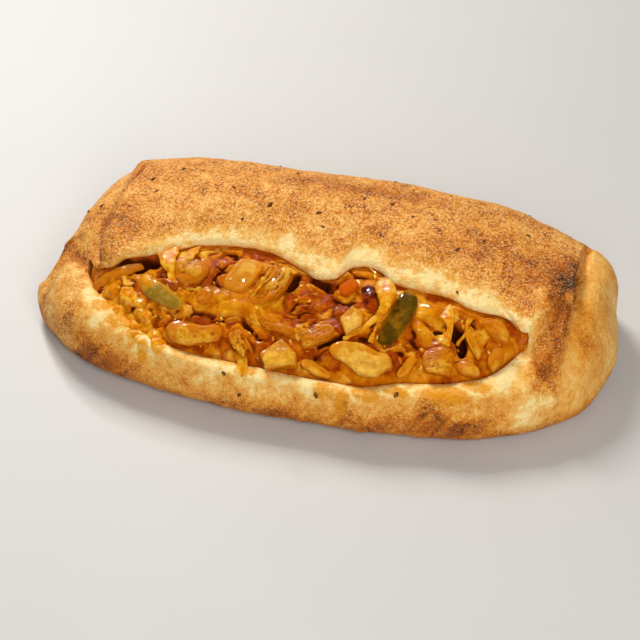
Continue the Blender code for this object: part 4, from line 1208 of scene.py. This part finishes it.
def saucy(name, low, high, sauce, cover, rough=0.32, subsurface=0.25, spots=None):
    # a piece's own colour under the sauce that clings to it, with painted shade in its hollows
    material, tree, shader = newMaterial(name, Roughness=rough, Specular_IOR_Level=0.06, Coat_Weight=1.0,
                                         Coat_Roughness=0.05, Subsurface_Weight=subsurface, Subsurface_Scale=0.003)
    shader.inputs["Subsurface Radius"].default_value = (1.0, 0.45, 0.10)
    coords, other = objectCoords(tree), objectCoords(tree, shift=(0.13, 0.29, 0.07))
    wide, mid, fine = grain(tree, coords, 6.5, 2.0), grain(tree, other, 2.6, 3.0, 0.6), grain(tree, coords, 0.9)
    tone = plus(tree, times(tree, mid, 0.6), times(tree, wide, 0.4))
    own = mixColour(tree, spread(tree, tone, 0.40, 0.60), low, high)
    if spots:
        own = mixColour(tree, spread(tree, grain(tree, other, 1.7, 2.0), 0.60, 0.70, 0.0, 0.7), own, spots)
    cling = plus(tree, wide, times(tree, mid, 0.5))     # about 0.75 on average, and more near the sauce
    cling = plus(tree, cling, spread(tree, readField(tree, "above"), 0.4, 5.0, 0.85, -0.10))
    own = mixColour(tree, spread(tree, cling, 1.25 - cover, 1.50 - cover, 0.0, 0.92), own, sauce)
    # painted shade: the piece's hollows, by its groove field, turn darker
    shade = (0.45 * sauce[0], 0.22 * sauce[1], 0.2 * sauce[2])
    own = mixColour(tree, times(tree, readField(tree, "groove"), 0.85), own, shade)
    tree.links.new(own, shader.inputs["Base Color"])
    tree.links.new(spread(tree, fine, 0.35, 0.65, rough - 0.08, rough + 0.14), shader.inputs["Roughness"])
    addBump(tree, shader, plus(tree, mid, times(tree, fine, 0.35)), 0.6, 0.5)
    addWetCoat(tree, shader, other)
    return material


# own colour from low to high, the sauce on it and how much it covers
pieceFinishes = {
    "chicken": {"name": "sauceCoatedChicken", "low": (0.68, 0.270, 0.006), "high": (0.88, 0.480, 0.052),
                "sauce": (0.60, 0.165, 0.001), "cover": 0.42, "rough": 0.42},
    "onion": {"name": "softOnion", "low": (0.72, 0.310, 0.010), "high": (0.88, 0.520, 0.085),
              "sauce": (0.66, 0.220, 0.002), "cover": 0.26, "rough": 0.30, "subsurface": 0.4},
    "softPepper": {"name": "softPepper", "low": (0.30, 0.165, 0.008), "high": (0.40, 0.235, 0.030),
                   "sauce": (0.62, 0.240, 0.003), "cover": -0.08, "rough": 0.30, "subsurface": 0.2,
                   "spots": (0.50, 0.33, 0.07)},
    "darkPepper": {"name": "darkPepper", "low": (0.085, 0.042, 0.001), "high": (0.145, 0.076, 0.003),
                   "sauce": (0.34, 0.130, 0.002), "cover": -0.12, "rough": 0.30, "subsurface": 0.1},
    "redPepper": {"name": "redPepper", "low": (0.78, 0.170, 0.002), "high": (0.86, 0.290, 0.008),
                  "sauce": (0.62, 0.100, 0.001), "cover": 0.35},
    "charred": {"name": "charredPiece", "low": (0.030, 0.003, 0.001), "high": (0.20, 0.016, 0.001),
                "sauce": (0.42, 0.055, 0.001), "cover": 0.14, "rough": 0.36, "subsurface": 0.05,
                "spots": (0.50, 0.07, 0.002)},
}
pieceMaterials = {kind: saucy(**finish) for kind, finish in pieceFinishes.items()}

for seed, (node, (kind, spec)) in enumerate(fillingPieces.items()):
    name = node.split("_")[0] + "".join(word.capitalize() for word in node.split("_")[1:])
    chunk = placeChunk(name + "Piece", kind, pieceOutlines[node], spec, seed)
    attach(chunk, "root")
    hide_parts(node)
print("pieces:", len(fillingPieces))


# cheese pulled into curtains and strings: its path as x, y and height above the filling, widths along it, thickness
cheesePulls = {
    "lipString": {"path": ((22, 3, 1.5), (24, 0, 3.2), (26, -5, 4.6)), "wide": (1.1, 0.9, 1.4), "thick": 0.9},
    "pepperDrape": {"path": ((26, -3, 2.0), (30, -8, 5.2), (33, -12.5, 5.6), (33.5, -18, 5.0), (31.5, -24, 4.2)),
                    "wide": (4.0, 8.0, 8.5, 5.0, 2.2), "thick": 1.5},
    "cubeEdge": {"path": ((31.5, -23, 4.4), (27, -28.5, 4.0), (19, -33.0, 2.6)), "wide": (2.2, 2.8, 1.6),
                 "thick": 1.3},
    "drapeString": {"path": ((32.5, -20, 5.0), (31.8, -27, 4.2), (31, -34, 4.6)), "wide": (2.2, 1.0, 2.0),
                    "thick": 1.0},
    "leftCurtain": {"path": ((-69, -4, 1.0), (-67, -9, 3.0), (-65, -14, 3.6), (-62.5, -19, 2.6), (-61, -24, 1.6)),
                    "wide": (12.0, 9.5, 6.5, 3.2, 4.0), "thick": 1.8},
    "roundCover": {"path": ((-60, -4, 1.0), (-58, -8, 3.6), (-56, -12, 5.6)), "wide": (13.0, 9.0, 4.0),
                   "thick": 1.4},
    "pocketStrip": {"path": ((-98, -23, 1.0), (-92, -20, 0.6), (-85, -17, -0.6), (-78, -13, -1.6)),
                    "wide": (3.4, 4.6, 5.0, 3.0), "thick": 3.0, "look": "chicken"},
    "cavityCurtain": {"path": ((57, -12, 1.5), (60.5, -16, 3.4), (62.6, -21, 3.2), (62.4, -27, 2.4)),
                      "wide": (10.0, 6.0, 2.8, 3.4), "thick": 1.6},
    "cavityString": {"path": ((70, -14, 2.2), (69.4, -19, 1.6), (67, -24, -1.0)), "wide": (3.4, 1.6, 1.8),
                     "thick": 1.2},
    "squareRun": {"path": ((-25.5, -25, 1.4), (-23, -19, 4.4), (-21.5, -14, 5.4)), "wide": (2.2, 1.7, 2.0),
                  "thick": 1.3},
    "raggedHang": {"path": ((-24, -44, 3.0), (-21.5, -50, 3.2), (-20.5, -54, 1.0)), "wide": (5.0, 4.0, 1.6),
                   "thick": 1.8},
    "roundHang": {"path": ((-57, -19, 3.0), (-53, -22.5, 1.6), (-48, -22, 1.6)), "wide": (2.0, 2.6, 1.6),
                  "thick": 1.4},
}
pullShape = {"stations": 12, "around": 24, "rolledEdge": 0.35, "waver": (3.0, 0.9)}     # stations for each point
pullColours = ((0.36, (0.66, 0.175, 0.002)), (0.50, (0.80, 0.300, 0.004)), (0.64, (0.92, 0.500, 0.040)))


def pulledCheese(name, path, wide, thick, look=None):
    # a strip swept along the path, flat side outwards
    knots = np.linspace(0.0, 1.0, len(path))
    t = np.linspace(0.0, 1.0, pullShape["stations"] * len(path))
    path = [(x, y, fillingLevel(x, y) + lift) for x, y, lift in path]
    centre = np.column_stack([along(np.column_stack([knots, np.array(path)[:, a]]), t) for a in range(3)])
    width = along(np.column_stack([knots, wide]), t)
    go = np.gradient(centre, axis=0)
    go /= np.linalg.norm(go, axis=1, keepdims=True)
    slope = math.radians(mouthFill["slope"])
    side = np.cross(go, np.array((0.0, -math.sin(slope), math.cos(slope))))
    side /= np.linalg.norm(side, axis=1, keepdims=True)
    up = np.cross(side, go)
    angle = np.linspace(0.0, 2.0 * math.pi, pullShape["around"], endpoint=False)
    across = np.cos(angle)
    high = np.sin(angle) * (1.0 + pullShape["rolledEdge"] * np.abs(across) ** 3)
    height = np.minimum(thick, width)[:, None, None] * high[None, :, None]
    breadth = side[:, None] * width[:, None, None] * across[None, :, None]
    ring = centre[:, None] + 0.5 * (breadth + up[:, None] * height)
    ring[:, :, 0] += bumps(ring, *pullShape["waver"], shift=2.0)
    ring[:, :, 1] += bumps(ring, *pullShape["waver"], shift=6.0)
    points, faces, _ = closeRings(ring[:, ::-1], {})
    piece = addPiece(name, points, faces, pieceMaterials[look] if look else cheeseLook)
    faceOutward(piece)
    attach(piece, "root")


def pulledCheeseMaterial():
    material, tree, shader = newMaterial("pulledCheese", Roughness=0.35, Specular_IOR_Level=0.1,
                                         Subsurface_Weight=0.4, Subsurface_Scale=0.003, Coat_Weight=1.0,
                                         Coat_Roughness=0.05)
    shader.inputs["Subsurface Radius"].default_value = (1.0, 0.5, 0.08)
    coords = objectCoords(tree)
    mid = grain(tree, coords, 3.0, 3.0, 0.6)
    tree.links.new(colourRamp(tree, mid, pullColours), shader.inputs["Base Color"])
    addBump(tree, shader, mid, 0.4, 0.5)
    addWetCoat(tree, shader, coords, 2.0, 0.9)
    return material


cheeseLook = pulledCheeseMaterial()
for name, pull in cheesePulls.items():
    pulledCheese(name, **pull)
print("pulled cheese:", len(cheesePulls))

# curds of melted cheese that swell over the rim at the left end: x, y, lift, radius
cheeseCurds = (
    (-77.8, -29.0, 2.6, 4.2), (-87.5, -30.4, 2.0, 3.6), (-82.3, -32.9, 2.8, 3.6), (-70.2, -34.9, 2.2, 3.8),
    (-74.3, -40.2, 2.6, 3.4), (-82.0, -37.2, 2.2, 3.0), (-64.2, -42.0, 2.2, 3.6), (-61.0, -45.6, 2.2, 3.2),
    (-68.7, -38.7, 2.6, 3.2), (-81.1, -26.0, 1.6, 3.2), (-88.6, -34.0, 1.2, 2.6), (-71.0, -44.0, 2.2, 2.6),
    (-76.5, -35.0, 2.8, 3.4), (-85.0, -27.0, 1.6, 3.0), (-93.0, -27.0, 1.4, 2.8), (-73.0, -30.4, 1.8, 3.0),
    (-66.8, -46.8, 1.2, 2.2), (-90.0, -23.5, 0.8, 2.8), (-56.5, -46.8, 1.4, 2.4), (-77.6, -39.8, 1.6, 2.4),
)
curdShape = {
    "seed": 31,
    "sink": 1.0,
    "long": (0.85, 1.25),               # shares of the radius
    "wide": (0.8, 1.1),
    "high": 0.72,
    "square": 2.3,
    "voxel": 0.42,
    "waves": (3.0, 0.6),
    "pits": (1.3, 0.3),
}


def makeCurds():
    draw = np.random.default_rng(curdShape["seed"])
    blobs = []
    for x, y, lift, radius in cheeseCurds:
        radii = (radius * draw.uniform(*curdShape["long"]), radius * draw.uniform(*curdShape["wide"]),
                 curdShape["high"] * radius)
        turns = (20.0, draw.uniform(-12, 12), draw.uniform(-40, 40))
        centre = (x, y, fillingLevel(x, y) + lift - curdShape["sink"])
        blobs.append(lump(centre, radii, curdShape["square"], turns, cuts=8))
    coords, faces, normals, _ = fused(blobs, curdShape["voxel"], 4)
    swell = bumps(coords, *curdShape["waves"], shift=4.0) + bumps(coords, *curdShape["pits"], shift=9.0)
    curds = addPiece("cheeseCurds", coords + normals * swell[:, None], faces, cheeseLook)
    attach(curds, "root")
    print("curds:", len(faces), "faces")


makeCurds()


# herb flecks, cornmeal grains and torn crumbs, scattered by geometry nodes
scatterings = {                         # how many to a square metre, smallest and largest scale, seed
    "cornmealGrains": {"density": 260000.0, "small": 0.30, "large": 0.62, "seed": 3},
    "tornCrumbs": {"density": 13000.0, "small": 0.7, "large": 2.3, "seed": 9},
    "herbFlecks": {"small": 0.55, "large": 1.15, "seed": 4},
}
scatterColours = {
    "cornmeal": ((0.62, 0.24, 0.05), (0.90, 0.52, 0.15), (0.95, 0.68, 0.30)),
    "tornCrumb": ((0.70, 0.150, 0.002), (0.84, 0.330, 0.010), (0.92, 0.560, 0.110)),
    "driedHerb": ((0.085, 0.026, 0.005), (0.160, 0.055, 0.012), (0.26, 0.100, 0.024)),
}
herbPlaces = (                          # x, y, z on the crust
    (-75, 38, 55), (-65, 39, 55), (-86, 30, 54), (-82, 22, 54), (-107, 19, 42), (-114, 20, 36), (-119, 9, 29),
    (-48, 30, 57), (-29, 22, 56), (-6, 22, 57), (-23, 49, 54), (-39, 14, 53), (-3, 15, 54), (30, 52, 54),
    (45, 29, 57), (35, 29, 57), (23, 16, 55), (68, 22, 56), (58, 15, 55), (62, -4, 46), (96, -11, 39), (86, 35, 52),
    (24, 37, 56), (11, 36, 57), (-29, -54, 23), (-21, -57, 15), (12, -55, 21), (46, -50, 25),
    (-60, 60, 45), (5, 66, 40), (50, 65, 38), (82, 55, 42), (-95, 45, 44), (-35, 62, 48), (20, 60, 50),
)


def scatterTree(name, placed):
    # small solids on a surface, either spread over it or one at each of its points
    tree = bpy.data.node_groups.new(name, "GeometryNodeTree")
    face = tree.interface
    face.new_socket("Surface", in_out="INPUT", socket_type="NodeSocketGeometry")
    for label, kind in (("Grain", "Object"), ("Density", "Float"), ("Smallest", "Float"), ("Largest", "Float"),
                        ("Seed", "Int"), ("Finish", "Material")):
        face.new_socket(label, in_out="INPUT", socket_type="NodeSocket" + kind)
    face.new_socket("Pieces", in_out="OUTPUT", socket_type="NodeSocketGeometry")
    given = tree.nodes.new("NodeGroupInput").outputs
    lie = addNode(tree, "GeometryNodeInputNamedAttribute", {"Name": "lie"}, data_type="FLOAT_VECTOR").outputs[0]
    if placed:
        points = addNode(tree, "GeometryNodeMeshToPoints", {"Mesh": given["Surface"]}).outputs["Points"]
        turned = addNode(tree, "FunctionNodeAlignRotationToVector", {"Vector": lie}, axis="Z").outputs["Rotation"]
    else:
        thick = addNode(tree, "GeometryNodeInputNamedAttribute", {"Name": "thickness"}, data_type="FLOAT")
        density = times(tree, thick.outputs[0], given["Density"])
        spots = addNode(tree, "GeometryNodeDistributePointsOnFaces",
                        {"Mesh": given["Surface"], "Density": density, "Seed": given["Seed"]})
        points, turned = spots.outputs["Points"], spots.outputs["Rotation"]
    spin = addNode(tree, "FunctionNodeRandomValue", {"Min": (-0.5, -0.5, -3.1), "Max": (0.5, 0.5, 3.1),
                                                     "Seed": given["Seed"]}, data_type="FLOAT_VECTOR").outputs[0]
    turned = addNode(tree, "FunctionNodeRotateRotation", {"Rotation": turned, "Rotate By": spin},
                     rotation_space="LOCAL").outputs[0]
    size = addNode(tree, "FunctionNodeRandomValue", data_type="FLOAT")
    for socket, source in ((2, "Smallest"), (3, "Largest"), (8, "Seed")):
        tree.links.new(given[source], size.inputs[socket])
    grainShape = addNode(tree, "GeometryNodeObjectInfo", {"Object": given["Grain"]}).outputs["Geometry"]
    laid = addNode(tree, "GeometryNodeInstanceOnPoints",
                   {"Points": points, "Instance": grainShape, "Rotation": turned, "Scale": size.outputs[1]})
    solid = addNode(tree, "GeometryNodeRealizeInstances", {"Geometry": laid.outputs["Instances"]})
    done = addNode(tree, "GeometryNodeSetMaterial",
                   {"Geometry": solid.outputs["Geometry"], "Material": given["Finish"]})
    tree.links.new(done.outputs["Geometry"], tree.nodes.new("NodeGroupOutput").inputs["Pieces"])
    return tree


def scatter(name, surface, grainShape, finish, placed=False):
    # the scattered grains as one plain mesh; surface and grainShape are removed
    spec = scatterings[name]
    tree = scatterTree(name + "Tree", placed)
    modifier = surface.modifiers.new("scatter", "NODES")
    modifier.node_group = tree
    values = {"Grain": grainShape, "Density": spec.get("density", 0.0), "Smallest": spec["small"],
              "Largest": spec["large"], "Seed": spec["seed"], "Finish": finish}
    for item in tree.interface.items_tree:
        if item.in_out == "INPUT" and item.name in values:
            modifier[item.identifier] = values[item.name]
    mesh = bpy.data.meshes.new_from_object(surface.evaluated_get(bpy.context.evaluated_depsgraph_get()))
    mesh.name = name
    for attribute in [a.name for a in mesh.attributes if a.name in ("lie", "thickness")]:
        mesh.attributes.remove(mesh.attributes[attribute])
    if not mesh.materials:
        mesh.materials.append(finish)
    piece = addObject(name, mesh)
    for helper in (surface, grainShape):
        bpy.data.objects.remove(helper)
    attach(piece, "root")
    print(name + ":", len(mesh.polygons), "faces")


def grainSolid(name, sides, roughness, subdivisions, seed):
    # one uneven grain, its sides in mm before scaling
    block = bmesh.new()
    bmesh.ops.create_icosphere(block, subdivisions=subdivisions, radius=0.5)
    for v in block.verts:
        v.co *= 1.0 + roughness * noise.noise(v.co * 5.0 + Vector((seed, 0.0, 0.0)))
        v.co = Vector([c * side * millimetre for c, side in zip(v.co, sides)])
    mesh = bpy.data.meshes.new(name)
    block.to_mesh(mesh)
    block.free()
    mesh.shade_smooth()
    return addObject(name, mesh)


def skinPatch(name, grid, thickness, closed):
    # a bare surface to scatter on, denser where thickness is higher
    quads = ringQuads(*grid.shape[:2], closed)
    wanted = thickness.ravel()[quads].max(axis=1) > 0.01
    mesh = bpy.data.meshes.new(name)
    mesh.from_pydata(((grid.reshape(-1, 3) - middle) * millimetre).tolist(), [], quads[wanted].tolist())
    layer = mesh.attributes.new("thickness", "FLOAT", "POINT")
    layer.data.foreach_set("value", thickness.ravel().astype(np.float32))
    return addObject(name, mesh)


def speckledMaterial(name, size, rough, coat=0.0):
    # each grain takes a colour by where it lies
    colours = scatterColours[name]
    material, tree, shader = newMaterial(name, Roughness=rough, Specular_IOR_Level=0.15, Coat_Weight=coat,
                                         Coat_Roughness=0.05)
    where = grain(tree, objectCoords(tree), size, 1.0)
    steps = np.linspace(0.36, 0.64, len(colours))
    tree.links.new(colourRamp(tree, where, tuple(zip(steps, colours))), shader.inputs["Base Color"])
    tree.links.new(spread(tree, where, 0.3, 0.7, rough - 0.08, rough + 0.10), shader.inputs["Roughness"])
    return material


def makeCornmeal():
    dusting = doughSkin["dust"] * ease(doughGrid[:, :, 2], 8.0, 20.0) * ease(doughSkin["bake"], 0.12, 0.40)
    dusting *= (1.0 - doughSkin["oil"]) * ease(bumps(doughGrid, 14.0, 1.0, shift=31.0), -0.7, 0.2)
    scatter("cornmealGrains", skinPatch("crustSkin", doughGrid, dusting, True),
            grainSolid("cornmealGrain", (1.0, 0.8, 0.55), 0.4, 1, 2), speckledMaterial("cornmeal", 0.8, 0.55))


def makeCrumbs():
    showing = sauceFace[:, 6:-14]       # clear of the wall and the lip
    scatter("tornCrumbs", skinPatch("sauceSkin", showing, np.ones(showing.shape[:2]), False),
            grainSolid("tornCrumb", (1.5, 0.8, 0.7), 0.7, 2, 5), speckledMaterial("tornCrumb", 2.5, 0.30, 0.8))


def makeHerbs():
    doughTree = pointTree(doughGrid.reshape(-1, 3))
    nearest = [doughTree.find(place)[1] for place in herbPlaces]
    mesh = bpy.data.meshes.new("herbSpots")
    mesh.from_pydata(((doughGrid.reshape(-1, 3)[nearest] - middle) * millimetre).tolist(), [], [])
    lie = outward(doughGrid).reshape(-1, 3)[nearest].astype(np.float32)
    mesh.attributes.new("lie", "FLOAT_VECTOR", "POINT").data.foreach_set("vector", lie.ravel())
    scatter("herbFlecks", addObject("herbSpots", mesh), grainSolid("herbFleck", (2.9, 2.0, 0.9), 0.6, 2, 8),
            speckledMaterial("driedHerb", 0.9, 0.6), placed=True)


makeCornmeal()
makeCrumbs()
makeHerbs()


floorLook = {
    "half": 4.0,                        # metres to each side
    "below": 0.0002,
    "colour": (0.62, 0.61, 0.60),
    "shade": 0.96,                      # its darker patches, as a share of the colour
    "mottle": 60.0,                     # their size, mm
    "rough": 0.55,
}


def addFloor():
    material, tree, shader = newMaterial("paleFloor", Roughness=floorLook["rough"])
    tone = grain(tree, objectCoords(tree), floorLook["mottle"], 4.0)
    pale = floorLook["colour"]
    shade = tuple(floorLook["shade"] * c for c in pale)
    tree.links.new(mixColour(tree, tone, pale, shade), shader.inputs["Base Color"])
    mesh = bpy.data.meshes.new("paleFloor")
    half = floorLook["half"]
    mesh.from_pydata([(-half, -half, 0), (half, -half, 0), (half, half, 0), (-half, half, 0)], [], [(0, 1, 2, 3)])
    mesh.transform(Matrix.Translation((0, 0, -floorLook["below"])))
    mesh.materials.append(material)
    addObject("paleFloor", mesh)


addFloor()
